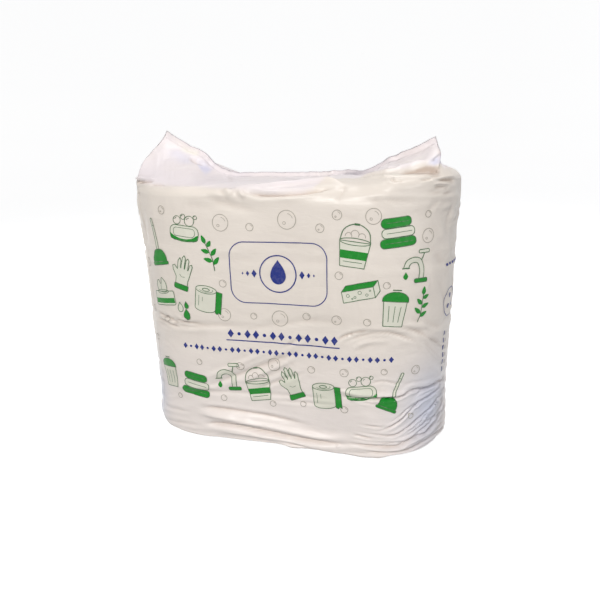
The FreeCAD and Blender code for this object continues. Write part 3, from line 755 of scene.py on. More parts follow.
# tint of the sheet: where it stands clear of the paper it turns cooler and lets light through
COOL_LINE = np.array([(-207, 386), (-182, 383), (-135, 383), (-99, 385), (-65, 381), (-42, 376), (-17, 373), (8, 372), (40, 376), (55, 382), (63, 398), (78, 414), (97, 424), (116, 431), (135, 425), (160, 426), (188, 436), (211, 426)], float)
# painted light and shade laid along lines on the sheet: the field (0 tan painted shade, 1 lilac painted cool shade, 2
# cream painted highlight, 3 painted dusky shade), the line, its strength, its width, how it dies out at the ends, and
# its sharpness
PAINTED_LIGHT_AND_SHADE = [
    (0, [(158, 409), (173, 413), (188, 414), (198, 410), (211, 403), (226, 396)], 1, 9, (0.35, 0.12), 2.4),  # hollow, painted shade
    (0, [(175, 415), (188, 416), (198, 410), (213, 402)], 0.9, 6, (0.4, 0.3), 2),  # hollow core, painted shade
    (0, [(182, 422), (194, 418), (207, 411)], 0.7, 5, (0.4, 0.3), 2),  # hollow high, painted shade
    (0, [(177, 408), (194, 403), (217, 395)], 0.9, 5.5, (0.3, 0.3), 2),  # hollow low, painted shade
    (1, [(211, 426), (222, 427), (381, 416)], 1, 11, (0, 0), 3.5),  # lens, painted cool shade of the slit into the ear
    (3, [(217, 442), (213, 439), (207, 434), (207, 424)], 0.95, 2.2, (0.1, 0.3), 1.8),  # lens edge, painted dark shade
    (0, [(122, 467), (156, 494), (427, 482), (381, 463)], 0.2, 26, (0.3, 0.1), 3),  # right ear painted shade
    (3, [(490, 501), (156, 496), (186, 492), (209, 482)], 0.17, 20, (0.2, 0.1), 2.6),  # right ear painted dusky shade
    (0, [(135, 496), (173, 498), (198, 489)], 0.12, 5, (0.3, 0.3), 2),  # right ear painted shade 2
    (1, [(-137, 461), (-127, 470), (-116, 472)], 1, 18, (0.3, 0.3), 2),  # left patch, painted cool shade
    (1, [(-200, 475), (-188, 469), (-171, 465), (-144, 455)], 0.42, 14, (0.3, 0.3), 2),  # left ear painted cool shade
    (2, [(-188, 481), (-169, 488), (-150, 494)], 1, 6, (0.3, 0.3), 2),  # left cream, painted highlight
    (2, [(-139, 489), (-482, 496), (-490, 491)], 0.6, 3.6, (0.3, 0.3), 2),  # left cream 2, painted highlight
    (2, [(160, 450), (182, 459), (200, 448)], 0.4, 4, (0.3, 0.3), 2),  # right cream, painted highlight
    (2, [(137, 410), (169, 404), (196, 395)], 0.6, 3, (0.3, 0.3), 2),  # rim cream, painted highlight
]
turn_h = np.interp(wrap(S), COOL_LINE[:, 0], COOL_LINE[:, 1])
fade_out = np.clip((np.abs(wrap(S)) - SF) / 25, 0, 1)
turn_h = turn_h * (1 - fade_out) + np.where(wrap(S - SF - SG / 2) ** 2 < (SG * 0.75) ** 2, 404, 388) * fade_out
tint = 1 / (1 + np.exp(-(H - turn_h[None]) / 2.2))
light_shade_fields = np.zeros((4, ROWS, COLS))
for which, pts, high, wide, ends, sharp in PAINTED_LIGHT_AND_SHADE:
    fold(pts, high, wide, ends, sharp, 0, light_shade_fields[which])
# painted shade: low on the front's two corners and on one corner of the back the sheet is painted bluish grey, for the
# cool shade there
foot_shade_blue = np.exp(-((H - 70) / 60) ** 2) * np.exp(-(wrap(S - 226) / 46) ** 2)[None]
foot_shade_blue += 0.9 * np.exp(-((H - 50) / 60) ** 2) * np.exp(-(wrap(S + 222) / 26) ** 2)[None]
foot_shade_blue += 0.5 * np.exp(-((H - 60) / 60) ** 2) * np.exp(-(wrap(S - mid_back + 190) / 60) ** 2)[None]
weld_h = H[R_BOT + R_WALL + R_TOP][None]
hem = np.clip((H - weld_h) / FIN, 0, 1)
# painted shade: a thin dark line along the fin's free edge
fin_edge_shade = np.clip((H - (weld_h + FIN - 1.7)) / 1.2, 0, 1)
col = np.zeros((ROWS * COLS, 4), np.float32)
col[:, 0] = np.clip(tint, 0, 1).ravel()
col[:, 1] = np.clip(foot_shade_blue, 0, 1).ravel()
# the weld is a thin dusky line, partly the seal's own line and partly painted shade of the fold along it; it is darkest
# where the fin is bunched right of the middle, which is painted shade of the crumpled fin
weld_x = np.where(layer_ > 0, wrap(PERI / 2 - S), wrap(S))
midway = np.clip((165 - np.abs(weld_x)) / 30, 0, 1)[None] * (np.abs(layer_) > 0.9)[None]
bunch_shade = np.exp(-((weld_x - 94) / 20) ** 2)[None] * (np.abs(layer_) > 0.9)[None]
up_weld = H - weld_h
seam = midway * (0.42 * np.exp(-((up_weld + 0.5) / 1.3) ** 2) + 0.12 * (hem > 0.05)) + 0.75 * bunch_shade * np.exp(-((up_weld - 2) / 6) ** 2)
seam *= 1 + 0.5 * lattice(18, 8, 91)
# the third channel: the weld line, painted shade along the fin's free edge, painted dusky shade from the table and
# painted crease shade on the bluish corners
col[:, 2] = np.clip(seam + 0.85 * fin_edge_shade + light_shade_fields[3] + 0.4 * crease * np.clip(foot_shade_blue, 0, 1), 0, 1).ravel()
col[:, 3] = 1
layer_att = mesh.color_attributes.new("sheet", 'FLOAT_COLOR', 'POINT')
layer_att.data.foreach_set("color", col.ravel())
# painted light and shade on the slack parts: tan painted shade where the dark hollow under the film would show through
# and in the creases, lilac painted cool shade in the hollow ears, cream painted highlights where the film shines
light_shade_fields[0] += 0.5 * crease * (1 - 0.8 * np.clip(foot_shade_blue, 0, 1))
# painted light: the sheet is painted paler towards the bottom, less so on the bluish shaded corners
low_light = np.clip((205 - H) / 150, 0, 1) * np.clip(1.15 - foot_shade_blue, 0, 1)
shade = np.ones((ROWS * COLS, 4), np.float32)
shade[:, 3] = np.clip(low_light, 0, 1).ravel()
shade[:, :3] = np.clip(light_shade_fields[:3], 0, 1).reshape(3, -1).T
layer_att = mesh.color_attributes.new("shade", 'FLOAT_COLOR', 'POINT')
layer_att.data.foreach_set("color", shade.ravel())

# the sheet's own coordinates, laid out as a UV map
uv = mesh.uv_layers.new(name="OFBake")
li = np.empty(len(mesh.loops), np.int32)
mesh.loops.foreach_get("vertex_index", li)
row_i, col_i = li // COLS, li % COLS
su = S[col_i] + SF
hv = H.ravel()[li]
start = np.empty(len(mesh.polygons), np.int32)
total = np.empty(len(mesh.polygons), np.int32)
mesh.polygons.foreach_get("loop_start", start)
mesh.polygons.foreach_get("loop_total", total)
poly = np.repeat(np.arange(len(start)), total)
top_s = np.zeros(len(start))
np.maximum.at(top_s, poly, su)
low = (top_s[poly] > PERI * 0.75) & (su < PERI * 0.25)
su = su + low * PERI
uvs = np.stack([0.004 + su / (PERI + 6) * 0.992, 0.004 + (hv - H.min()) / (H.max() - H.min()) * 0.992], -1)
uv.data.foreach_set("uv", uvs.astype(np.float32).ravel())

film = bpy.data.objects.new("film_bag", mesh)
scene.collection.objects.link(film)
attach(film, "root")
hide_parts("wrapped_pack")


# ------------------------------------------------------------------ print, laid on the sheet
def on_sheet(pts, lift):
    """places (s, h) on the sheet, as points in metres lifted off it by lift mm"""
    p = np.asarray(pts, float)
    s = (p[:, 0] + SF) % PERI - SF
    j = np.clip(np.searchsorted(S, s, side="right") - 1, 0, COLS - 1)
    j1 = (j + 1) % COLS
    span = np.where(j1 == 0, PERI - SF - S[j], S[j1] - S[j])
    fs = (s - S[j]) / span
    hc = H[:, j] * (1 - fs) + H[:, j1] * fs
    i = np.clip((hc <= p[:, 1]).sum(0) - 1, 0, ROWS - 2)
    k = np.arange(len(s))
    fh = np.clip((p[:, 1] - hc[i, k]) / (hc[i + 1, k] - hc[i, k]), 0, 1)[:, None]
    fs = fs[:, None]
    out = []
    for f in (G, N):
        out.append((f[i, j] * (1 - fs) + f[i, j1] * fs) * (1 - fh) + (f[i + 1, j] * (1 - fs) + f[i + 1, j1] * fs) * fh)
    n = out[1] / np.linalg.norm(out[1], axis=1)[:, None]
    return (out[0] + n * lift) * MM


class Ink:
    def __init__(self, lift):
        self.lift, self.pts, self.faces = lift, [], []

    def add(self, pts, faces):
        k = len(self.pts)
        self.pts += [tuple(p) for p in pts]
        self.faces += [tuple(k + i for i in f) for f in faces]


INK = {"line": Ink(0.54), "green": Ink(0.46), "tint": Ink(0.36), "navy": Ink(0.46), "grey": Ink(0.42)}


def resample(pts, step, closed):
    p = np.asarray(pts, float)
    if closed:
        p = np.concatenate([p, p[:1]])
    out = []
    for a, b in zip(p[:-1], p[1:]):
        n = max(1, int(math.ceil(np.linalg.norm(b - a) / step)))
        out += [a + (b - a) * k / n for k in range(n)]
    if not closed:
        out.append(p[-1])
    out = np.array(out)
    keep = np.ones(len(out), bool)
    keep[1:] = np.linalg.norm(np.diff(out, axis=0), axis=1) > 1e-4
    out = out[keep]
    if closed and np.linalg.norm(out[-1] - out[0]) < 1e-4:
        out = out[:-1]
    return out


def ribbon(ink, pts, width, closed=False):
    p = resample(pts, 1.25, closed)
    if closed:
        fwd, bak = np.roll(p, -1, 0) - p, p - np.roll(p, 1, 0)
    else:
        fwd = np.concatenate([np.diff(p, axis=0), p[-1:] - p[-2:-1]])
        bak = np.concatenate([p[1:2] - p[:1], np.diff(p, axis=0)])
    fwd /= np.linalg.norm(fwd, axis=1)[:, None]
    bak /= np.linalg.norm(bak, axis=1)[:, None]
    t = fwd + bak
    t /= np.linalg.norm(t, axis=1)[:, None] + 1e-9
    miter = np.clip((t * fwd).sum(1), 0.55, 1)[:, None]
    n = np.stack([-t[:, 1], t[:, 0]], -1) * width / 2 / miter
    k = len(p)
    v = np.concatenate([p + n, p - n])
    m = k if closed else k - 1
    INK[ink].add(v, [(i, k + i, k + (i + 1) % k, (i + 1) % k) for i in range(m)])


def patch(ink, pts, step=1.6):
    b = resample(pts, step * 0.9, True)
    lo, hi = b.min(0), b.max(0)
    gx, gy = np.meshgrid(np.arange(lo[0] + step / 2, hi[0], step), np.arange(lo[1] + step / 2, hi[1], step * 0.87))
    gx = gx + (np.arange(gx.shape[0]) % 2)[:, None] * step / 2
    g = np.stack([gx.ravel(), gy.ravel()], -1)
    inside = np.zeros(len(g), bool)
    c, d = b, np.roll(b, -1, 0)
    for (x0, y0), (x1, y1) in zip(c, d):
        hit = ((g[:, 1] < y0) != (g[:, 1] < y1)) & (g[:, 0] < (x1 - x0) * (g[:, 1] - y0) / (y1 - y0 + 1e-12) + x0)
        inside ^= hit
    g = g[inside]
    if len(g):
        g = g[np.linalg.norm(g[:, None] - b[None], axis=2).min(1) > step * 0.45]
    v = [Vector(q) for q in np.concatenate([b, g])]
    n = len(b)
    res = delaunay_2d_cdt(v, [(i, (i + 1) % n) for i in range(n)], [list(range(n))], 1, 1e-6)
    INK[ink].add([tuple(q) for q in res[0]], [tuple(f) for f in res[2]])


def arc(cx, cy, rx, ry=None, a0=0, a1=360, n=None):
    ry = rx if ry is None else ry
    n = n or max(8, int(abs(a1 - a0) / 360 * max(14, 2.6 * (rx + ry))))
    full = abs(a1 - a0) >= 360
    a = np.radians(np.linspace(a0, a1, n, endpoint=not full))
    return np.stack([cx + rx * np.cos(a), cy + ry * np.sin(a)], -1)


def rrect(cx, cy, w, h, r):
    out = []
    for sx, sy, a in ((1, 1, 0), (-1, 1, 90), (-1, -1, 180), (1, -1, 270)):
        out.append(arc(cx + sx * (w / 2 - r), cy + sy * (h / 2 - r), r, r, a, a + 90, max(4, int(r * 1.3) + 3)))
    return np.concatenate(out)


def curve(pts, step=1.6):
    return line_through(pts, step)[0]


class Icon:
    """one drawing, in its own mm, set on the sheet at (s, h), turned and scaled"""

    def __init__(self, s, h, size=1.0, turn=0.0, flip=False):
        self.s, self.h, self.k, self.t, self.f = s, h, size, math.radians(turn), -1 if flip else 1

    def at(self, pts):
        p = np.asarray(pts, float) * self.k
        p = p * (self.f, 1)
        c, t = math.cos(self.t), math.sin(self.t)
        return np.stack([self.s + p[:, 0] * c - p[:, 1] * t, self.h + p[:, 0] * t + p[:, 1] * c], -1)

    def line(self, pts, closed=False, w=0.95, ink="line"):
        ribbon(ink, self.at(pts), w, closed)
        return self

    def fill(self, pts, ink="green"):
        patch(ink, self.at(pts))
        return self

    def both(self, pts, ink="tint", w=0.95, line="line"):
        patch(ink, self.at(pts))
        ribbon(line, self.at(pts), w, True)
        return self


def bucket(*a, **k):
    i = Icon(*a, **k)
    body = [(-15, 9), (-12, -16), (12, -16), (15, 9)]
    i.both(body)
    i.fill([(-13.9, 0), (-12.9, -8), (12.9, -8), (13.9, 0)])
    i.line(arc(0, 9, 15, 3.4), True).line(curve([(-15, 9), (-12, 20), (0, 26), (12, 20), (15, 9)]), w=1.1)
    i.line([(-2.6, 25.6), (2.6, 25.6)], w=2.6)
    for x, y, r in ((-7, 14, 3.2), (-1, 16, 4), (6, 14.4, 3.4)):
        i.line(arc(x, y, r, r, -10, 190), w=0.8, ink="grey")
    i.line([(-9.5, -11), (9.5, -11)], w=0.7)


def loo_roll(*a, **k):
    i = Icon(*a, **k)
    i.both(np.concatenate([arc(0, 12, 13, 4.6, 0, 180), arc(0, -11, 13, 4.6, 180, 360)]))
    i.line(arc(0, 12, 13, 4.6), True).line(arc(0, 12, 4.4, 1.7), True, w=1.1).line(arc(0, 12, 8.6, 3.1, 200, 380), w=0.6)
    i.both([(13, 12), (20, 11), (20, -15), (17.6, -13.6), (15.4, -15.6), (13, -14)], ink="green")
    i.line([(-8.6, 4), (-8.6, -9)], w=0.6).line([(-4, 2.6), (-4, -3)], w=0.6)


def plunger(*a, **k):
    i = Icon(*a, **k)
    i.both(rrect(0, 14, 3.4, 36, 1.6))
    i.line([(-1.7, 24), (1.7, 24)], w=0.7)
    i.fill(curve([(-12, -17), (-11, -10), (-6.5, -4), (0, -2.6), (6.5, -4), (11, -10), (12, -17)]))
    i.line(curve([(-12, -17), (-11, -10), (-6.5, -4), (0, -2.6), (6.5, -4), (11, -10), (12, -17)]))
    i.both(rrect(0, -18.6, 27, 3.6, 1.7), ink="green")


def glove(*a, **k):
    i = Icon(*a, **k)
    hand = [(-8, -15), (-8.4, -7), (-13.5, 0.4), (-14.6, 5), (-12, 6.6), (-7.6, 2.6), (-8, 13), (-6, 16.6), (-3.9, 13.4),
            (-3.6, 5), (-3, 5), (-2.6, 18), (-0.6, 20.6), (1.4, 18), (1.4, 5), (2, 5), (2.8, 16), (4.8, 18), (6.4, 15.4),
            (5.8, 4), (6.4, 4), (8.2, 11), (10.2, 12.2), (11.4, 9.6), (9.4, -2), (8, -9), (8, -15)]
    i.both(hand)
    i.both(rrect(0, -18, 19, 6.4, 1.4), ink="green")
    i.line([(-4, -3), (-1, -5.6), (3.4, -5)], w=0.6)


def tap(*a, **k):
    i = Icon(*a, **k)
    outer = curve([(11, -12), (11, 2), (7, 9), (-1, 11.4), (-9, 8.6), (-13, 0)])
    inner = curve([(-7.4, 0), (-5, 4.4), (-1, 5.8), (3.6, 4.4), (5.4, 0), (5.4, -12)])
    i.both(np.concatenate([outer, inner]))
    i.both(rrect(8.2, -14.4, 16, 4.6, 1.6), ink="green")
    i.line([(8.4, 8), (11, 15)], w=1.2).both(rrect(11.4, 17, 14, 3.6, 1.7))
    i.line([(-14.4, 0), (-6, 0)], w=1.6)
    i.fill(curve([(-10.2, -4), (-13, -9.6), (-10.2, -12.6), (-7.4, -9.6), (-10.2, -4)]))


def towels(*a, **k):
    i = Icon(*a, **k)
    for n, (x, y, w) in enumerate(((0, -10.4, 38), (0.8, 0, 35), (-0.6, 10.4, 32))):
        r = rrect(x, y, w, 9.6, 4.4)
        i.both(r, ink="tint" if n == 1 else "green")
        i.line([(x - w / 2 + 5, y), (x + w / 2 - 3, y)], w=0.7)


def soap(*a, **k):
    i = Icon(*a, **k)
    i.both(rrect(0, -4, 36, 17, 7))
    i.line(rrect(0, -3, 27, 9.6, 4), True, w=0.7)
    i.fill(curve([(-18, -5), (-17, -11), (-11, -12.6), (11, -12.6), (17, -11), (18, -5), (10, -9), (-10, -9), (-18, -5)]))
    for x, y, r in ((-9, 10, 4.6), (-1.4, 14.4, 3), (6.6, 10.4, 5.6), (13.4, 15, 2.2)):
        i.line(arc(x, y, r), True, w=0.75)
        i.line(arc(x, y, r * 0.6, r * 0.6, 100, 160), w=0.6)


def bin_(*a, **k):
    i = Icon(*a, **k)
    i.both([(-13, 8), (-10.4, -20), (10.4, -20), (13, 8)])
    for x in (-6, 0, 6):
        i.line([(x * 1.1, 3), (x * 0.9, -15)], w=0.8)
    i.both(np.concatenate([arc(0, 10, 14.4, 9, 0, 180), [(-14.4, 8), (14.4, 8)]]), ink="green")
    i.line([(-5, 21), (5, 21)], w=1.4)


def sprig(*a, **k):
    i = Icon(*a, **k)
    i.line(curve([(0, -20), (1.6, -8), (0.6, 6), (-1, 16)]), w=1.1)
    for x, y, t, n in ((1, -13, 38, 12), (1.4, -9, 148, 12), (1.4, -2, 36, 11.4), (1, 2, 146, 11), (0.2, 9, 42, 9), (-0.6, 13, 98, 11)):
        c, d = math.cos(math.radians(t)), math.sin(math.radians(t))
        leaf = [(x, y), (x + n * 0.35 * c - 2.6 * d, y + n * 0.35 * d + 2.6 * c), (x + n * c, y + n * d),
                (x + n * 0.35 * c + 2.6 * d, y + n * 0.35 * d - 2.6 * c), (x, y)]
        i.fill(curve(leaf, 1.2))


def sponge(*a, **k):
    i = Icon(*a, **k)
    i.both([(-19, -8), (-19, 4), (-13, 10), (21, 10), (21, -2), (15, -8)])
    i.line([(-19, 4), (15, 4), (21, 10)], w=0.9).line([(15, 4), (15, -8)], w=0.9)
    i.fill([(-19, 4), (-13, 10), (21, 10), (15, 4)])
    for x, y, r in ((-13, -1, 1.7), (-6, -4, 1.2), (0, 0, 1.9), (7, -3.6, 1.4), (-9, -5, 0.8), (11, 0.6, 0.9)):
        i.line(arc(x, y, r, n=8), True, w=0.6)


def tissues(*a, **k):
    i = Icon(*a, **k)
    i.both(rrect(0, -8, 38, 18, 2.4))
    i.fill([(-18, -8), (18, -8), (18, -14.6), (-18, -14.6)])
    i.line(arc(0, 0.6, 10.6, 2.6), True, w=0.8)
    i.both(curve([(-8, 1), (-10.4, 10), (-5, 16), (-1, 10.6), (3, 18.6), (8, 13), (7.4, 1), (-8, 1)]))
    i.line([(-2, 3), (-1, 10)], w=0.6)


def drops(*a, **k):
    i = Icon(*a, **k)
    for x, y, r, ink in ((-6, 4, 1.0, "tint"), (5, 7, 0.72, "green"), (3.4, -8, 1.15, "green")):
        i.both(curve([(x, y + 9 * r), (x - 4.6 * r, y), (x - 3.6 * r, y - 4.4 * r), (x, y - 6 * r), (x + 3.6 * r, y - 4.4 * r),
                      (x + 4.6 * r, y), (x, y + 9 * r)]), ink=ink)


def bubble(s, h, r):
    i = Icon(s, h)
    i.line(arc(0, 0, r), True, w=0.8, ink="grey")
    i.line(arc(0, 0, r * 0.66, r * 0.66, 15, 80), w=0.7, ink="grey")
    if r > 5:
        i.line(arc(-r * 0.3, -r * 0.34, r * 0.16, n=8), True, w=0.6, ink="grey")


def bands(s0, seed, panel):
    """rows of drawings about the middle of one broad side"""
    drawn = [(plunger, -174, 296, 1.26, 10), (soap, -122, 323, 1.2, -6), (sprig, -87, 290, 1.16, 16),
             (glove, -130, 263, 1.2, -14), (tissues, -172, 230, 1.15, 8), (loo_roll, -98, 226, 1.2, -8), (drops, -134, 207, 0.95, 6),
             (bucket, 109, 300, 1.3, -7), (towels, 163, 323, 1.2, 6), (tap, 187, 277, 1.2, 0),
             (sponge, 117, 246, 1.22, 12), (bin_, 162, 224, 1.2, -6), (sprig, 200, 224, 1.12, -12),
             (bin_, -176, 102, 1.16, 8), (towels, -126, 92, 1.2, -6), (tap, -75, 108, 1.2, 6), (bucket, -27, 96, 1.2, 9),
             (glove, 22, 109, 1.2, 22), (loo_roll, 69, 94, 1.2, 6), (soap, 120, 108, 1.16, 5), (plunger, 163, 99, 1.12, -24)]
    if not panel:
        drawn += [(loo_roll, -46, 321, 1.2, -8), (glove, 6, 299, 1.2, 10), (tissues, 57, 318, 1.15, -5),
                  (bucket, -46, 251, 1.15, 6), (tap, 8, 236, 1.2, -6), (towels, 62, 257, 1.15, 5),
                  (sponge, -166, 168, 1.1, -8), (sprig, -108, 163, 1.0, 30), (soap, -56, 172, 1.05, 6), (bin_, -8, 160, 1.0, -8),
                  (drops, 34, 168, 1.0, 10), (tissues, 82, 166, 1.05, 5), (sponge, 136, 164, 1.1, 8), (tap, 186, 166, 1.0, -5)]
    for draw, s, h, k, turn in drawn:
        draw(s0 + s, h, size=k, turn=turn)
    r = np.random.default_rng(seed)
    spots = [(-158, 347, 5.6), (-160, 300, 4.4), (-100, 343, 6.4), (-68, 335, 11.0), (-26, 326, 5.0), (22, 339, 12.0), (66, 326, 5.4),
             (86, 343, 6.0), (133, 343, 9.5), (205, 318, 9.0), (204, 344, 4.2), (-72, 252, 5.0), (-112, 256, 6.6), (-206, 268, 6.0),
             (134, 274, 8.2), (150, 258, 4.4), (90, 268, 5.0), (-70, 206, 9.0), (-30, 206, 4.4), (10, 203, 11.0), (46, 208, 5.0),
             (88, 208, 6.4), (126, 206, 4.6), (-170, 190, 4.6), (-205, 196, 5.4), (-206, 150, 4.6), (-164, 128, 7.0), (-116, 128, 4.4),
             (-82, 76, 4.6), (-4, 134, 9.0), (50, 132, 5.0), (98, 132, 5.6), (148, 80, 4.6), (196, 134, 6.4), (-54, 130, 5.6),
             (-6, 72, 4.4), (98, 76, 5.0), (38, 76, 4.0), (-160, 66, 4.0), (190, 66, 4.2), (150, 134, 4.2)]
    for s, h, q in spots:
        s, h = s + r.uniform(-2, 2), h + r.uniform(-2, 2)
        if all(((s - a) / (21 * k + q)) ** 2 + ((h - b) / (23 * k + q)) ** 2 > 0.86 for _, a, b, k, _ in drawn):
            bubble(s0 + s, h, q)


bands(0, 5, True)
bands(PERI / 2, 6, False)

# a rounded panel with a drop in a ring, and rows of diamonds below it
ribbon("navy", rrect(8, 266.5, 133, 84, 21), 1.25, True)
pic = Icon(8, 266, 1.0, 0)
for r, w in ((25, 1.6),):
    pic.line(arc(0, 0, r), True, w=w, ink="navy")
pic.fill(curve([(0, 19), (-9.4, 4), (-10.6, -5), (-6.4, -12), (0, -14.4), (6.4, -12), (10.6, -5), (9.4, 4), (0, 19)]), ink="navy")
for sx in (-1, 1):
    for x, n in ((33, 7.0), (42, 4.6), (49, 2.6)):
        patch("navy", pic.at([(sx * (x - n / 2), 0), (sx * x, n * 0.8), (sx * (x + n / 2), 0), (sx * x, -n * 0.8)]))


def ornament(s0, s1, h, tall, pitch):
    """a plain row of lozenges and dots"""
    n = int(round((s1 - s0) / pitch))
    for k in range(n + 1):
        x = s0 + (s1 - s0) * k / n
        if k % 3 == 1:
            patch("navy", arc(x, h, tall * 0.2, n=12))
        else:
            patch("navy", [(x - pitch * 0.37, h), (x, h + tall / 2), (x + pitch * 0.37, h), (x, h - tall / 2)])


ornament(-64, 84, 178, 12.6, 12.3)
ribbon("navy", [(-71, 168), (-20, 168), (40, 168), (91, 168)], 1.6)
ornament(-138, 160, 153, 9.2, 9.3)

# the ends carry a small ring and short bars
for s0 in (SF + 52, 3 * SF + 2 * SG + 52):
    ribbon("navy", arc(s0, 216, 21), 1.2, True)
    for a in (90, 210, 330):
        patch("navy", arc(s0 + 9 * math.cos(math.radians(a)), 216 + 9 * math.sin(math.radians(a)), 3.6))
    for k in range(5):
        patch("navy", rrect(s0 - 20 + 10 * k, 272, 7, 3.4, 1.4))
    for k in range(6):
        patch("navy", rrect(s0 - 12, 172 - 11 * k, 3.4, 7.4, 1.4))
        patch("grey", rrect(s0 - 4, 170 - 11 * k, 2.0, 5.6, 0.9))

INK_OBJ = {}
for name, ink in INK.items():
    v = on_sheet(ink.pts, ink.lift)
    m = bpy.data.meshes.new("print_" + name)
    m.from_pydata(v.tolist(), [], ink.faces)
    m.update()
    m.polygons.foreach_set("use_smooth", np.ones(len(m.polygons), bool))
    # every printed face looks outward
    o = bpy.data.objects.new("print_" + name, m)
    scene.collection.objects.link(o)
    nrm = np.empty(len(m.polygons) * 3)
    m.polygons.foreach_get("normal", nrm)
    cen = np.empty(len(m.polygons) * 3)
    m.polygons.foreach_get("center", cen)
    cen, nrm = cen.reshape(-1, 3), nrm.reshape(-1, 3)
    axis = cen.copy()
    axis[:, 0] -= np.clip(axis[:, 0], -A * MM, A * MM)
    wrong = np.where((nrm[:, :2] * axis[:, :2]).sum(1) < 0)[0]
    if len(wrong):
        b_ = bmesh.new()
        b_.from_mesh(m)
        b_.faces.ensure_lookup_table()
        for w_ in wrong:
            b_.faces[int(w_)].normal_flip()
        b_.to_mesh(m)
        b_.free()
    INK_OBJ[name] = o
    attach(o, "root")


# ------------------------------------------------------------------ materials
def srgb(r, g, b):
    return tuple(((c / 255 + 0.055) / 1.055) ** 2.4 if c > 10 else c / 255 / 12.92 for c in (r, g, b)) + (1.0,)


class Nodes:
    def __init__(self, name):
        self.mat = bpy.data.materials.new(name)
        self.mat.use_nodes = True
        self.nt = self.mat.node_tree
        self.bsdf = self.nt.nodes["Principled BSDF"]

    def new(self, kind, **sets):
        n = self.nt.nodes.new(kind)
        for k, v in sets.items():
            if hasattr(n, k):
                setattr(n, k, v)
            else:
                n.inputs[k].default_value = v
        return n

    def link(self, a, b):
        self.nt.links.new(a, b)

    def noise(self, at, scale, detail=4, rough=0.55, distort=0.0):
        n = self.nt.nodes.new("ShaderNodeTexNoise")
        n.inputs["Scale"].default_value = scale
        n.inputs["Detail"].default_value = detail
        n.inputs["Roughness"].default_value = rough
        n.inputs["Distortion"].default_value = distort
        self.link(at, n.inputs["Vector"])
        return n.outputs["Fac"]

    def stretch(self, at, scale):
        m = self.nt.nodes.new("ShaderNodeMapping")
        m.inputs["Scale"].default_value = scale
        self.link(at, m.inputs["Vector"])
        return m.outputs["Vector"]

    def ramp(self, at, lo, hi, a=0.0, b=1.0):
        m = self.nt.nodes.new("ShaderNodeMapRange")
        m.inputs["From Min"].default_value, m.inputs["From Max"].default_value = lo, hi
        m.inputs["To Min"].default_value, m.inputs["To Max"].default_value = a, b
        self.link(at, m.inputs["Value"])
        return m.outputs["Result"]

    def mix(self, fac, a, b, mode="MIX"):
        m = self.nt.nodes.new("ShaderNodeMix")
        m.data_type, m.blend_type = "RGBA", mode
        for sock, v in ((m.inputs["Factor"], fac), (m.inputs[6], a), (m.inputs[7], b)):
            if hasattr(v, "links"):
                self.link(v, sock)
            else:
                sock.default_value = v
        return m.outputs[2]

    def math(self, op, a, b):
        m = self.nt.nodes.new("ShaderNodeMath")
        m.operation = op
        for sock, v in ((m.inputs[0], a), (m.inputs[1], b)):
            if hasattr(v, "links"):
                self.link(v, sock)
            else:
                sock.default_value = v
        return m.outputs[0]

    def bump(self, at, strength, depth, under=None):
        m = self.nt.nodes.new("ShaderNodeBump")
        m.inputs["Strength"].default_value = strength
        m.inputs["Distance"].default_value = depth
        self.link(at, m.inputs["Height"])
        if under is not None:
            self.link(under, m.inputs["Normal"])
        return m.outputs["Normal"]


WARM = srgb(235, 226, 216)
COOL = srgb(241, 232, 230)
# the six colours below paint light and shade: bluish painted shade, the weld's dusky line with painted shade, tan
# painted shade, lilac painted cool shade, cream painted highlight and a pale painted light low down
SHADE_BLUE = srgb(198, 208, 234)
SEAM_AND_SHADE = srgb(150, 144, 152)
SHADE_TAN = srgb(184, 164, 149)
LILAC_SHADE = srgb(218, 218, 240)
HIGHLIGHT_CREAM = srgb(242, 238, 224)
LOW_LIGHT_PALE = srgb(245, 236, 231)

m = Nodes("white_film")
pos = m.new("ShaderNodeTexCoord").outputs["Object"]
att = m.new("ShaderNodeVertexColor", layer_name="sheet")
sep = m.nt.nodes.new("ShaderNodeSeparateColor")
m.link(att.outputs["Color"], sep.inputs["Color"])
cloud = m.noise(m.stretch(pos, (7, 7, 16)), 1.0, 3)
grain = m.noise(m.stretch(pos, (40, 40, 150)), 1.0, 5, 0.6, 0.4)
warm = m.mix(m.ramp(cloud, 0.3, 0.7), WARM, srgb(229, 220, 210))
cool = m.mix(m.ramp(cloud, 0.35, 0.65), COOL, srgb(231, 223, 226))
base = m.mix(sep.outputs["Red"], warm, cool)
att2 = m.new("ShaderNodeVertexColor", layer_name="shade")
# painted light: paler low on the sheet
base = m.mix(m.math("MULTIPLY", att2.outputs["Alpha"], 0.85), base, LOW_LIGHT_PALE)
# painted shade: bluish grey on the lower corners
base = m.mix(m.math("MULTIPLY", sep.outputs["Green"], 0.68), base, SHADE_BLUE)
sep2 = m.nt.nodes.new("ShaderNodeSeparateColor")
m.link(att2.outputs["Color"], sep2.inputs["Color"])
# painted highlight in cream, painted cool shade in lilac and painted shade in tan
base = m.mix(m.math("MULTIPLY", sep2.outputs["Blue"], 0.7), base, HIGHLIGHT_CREAM)
base = m.mix(m.math("MULTIPLY", sep2.outputs["Green"], 0.8), base, LILAC_SHADE)
base = m.mix(m.math("MULTIPLY", sep2.outputs["Red"], 0.85), base, SHADE_TAN)
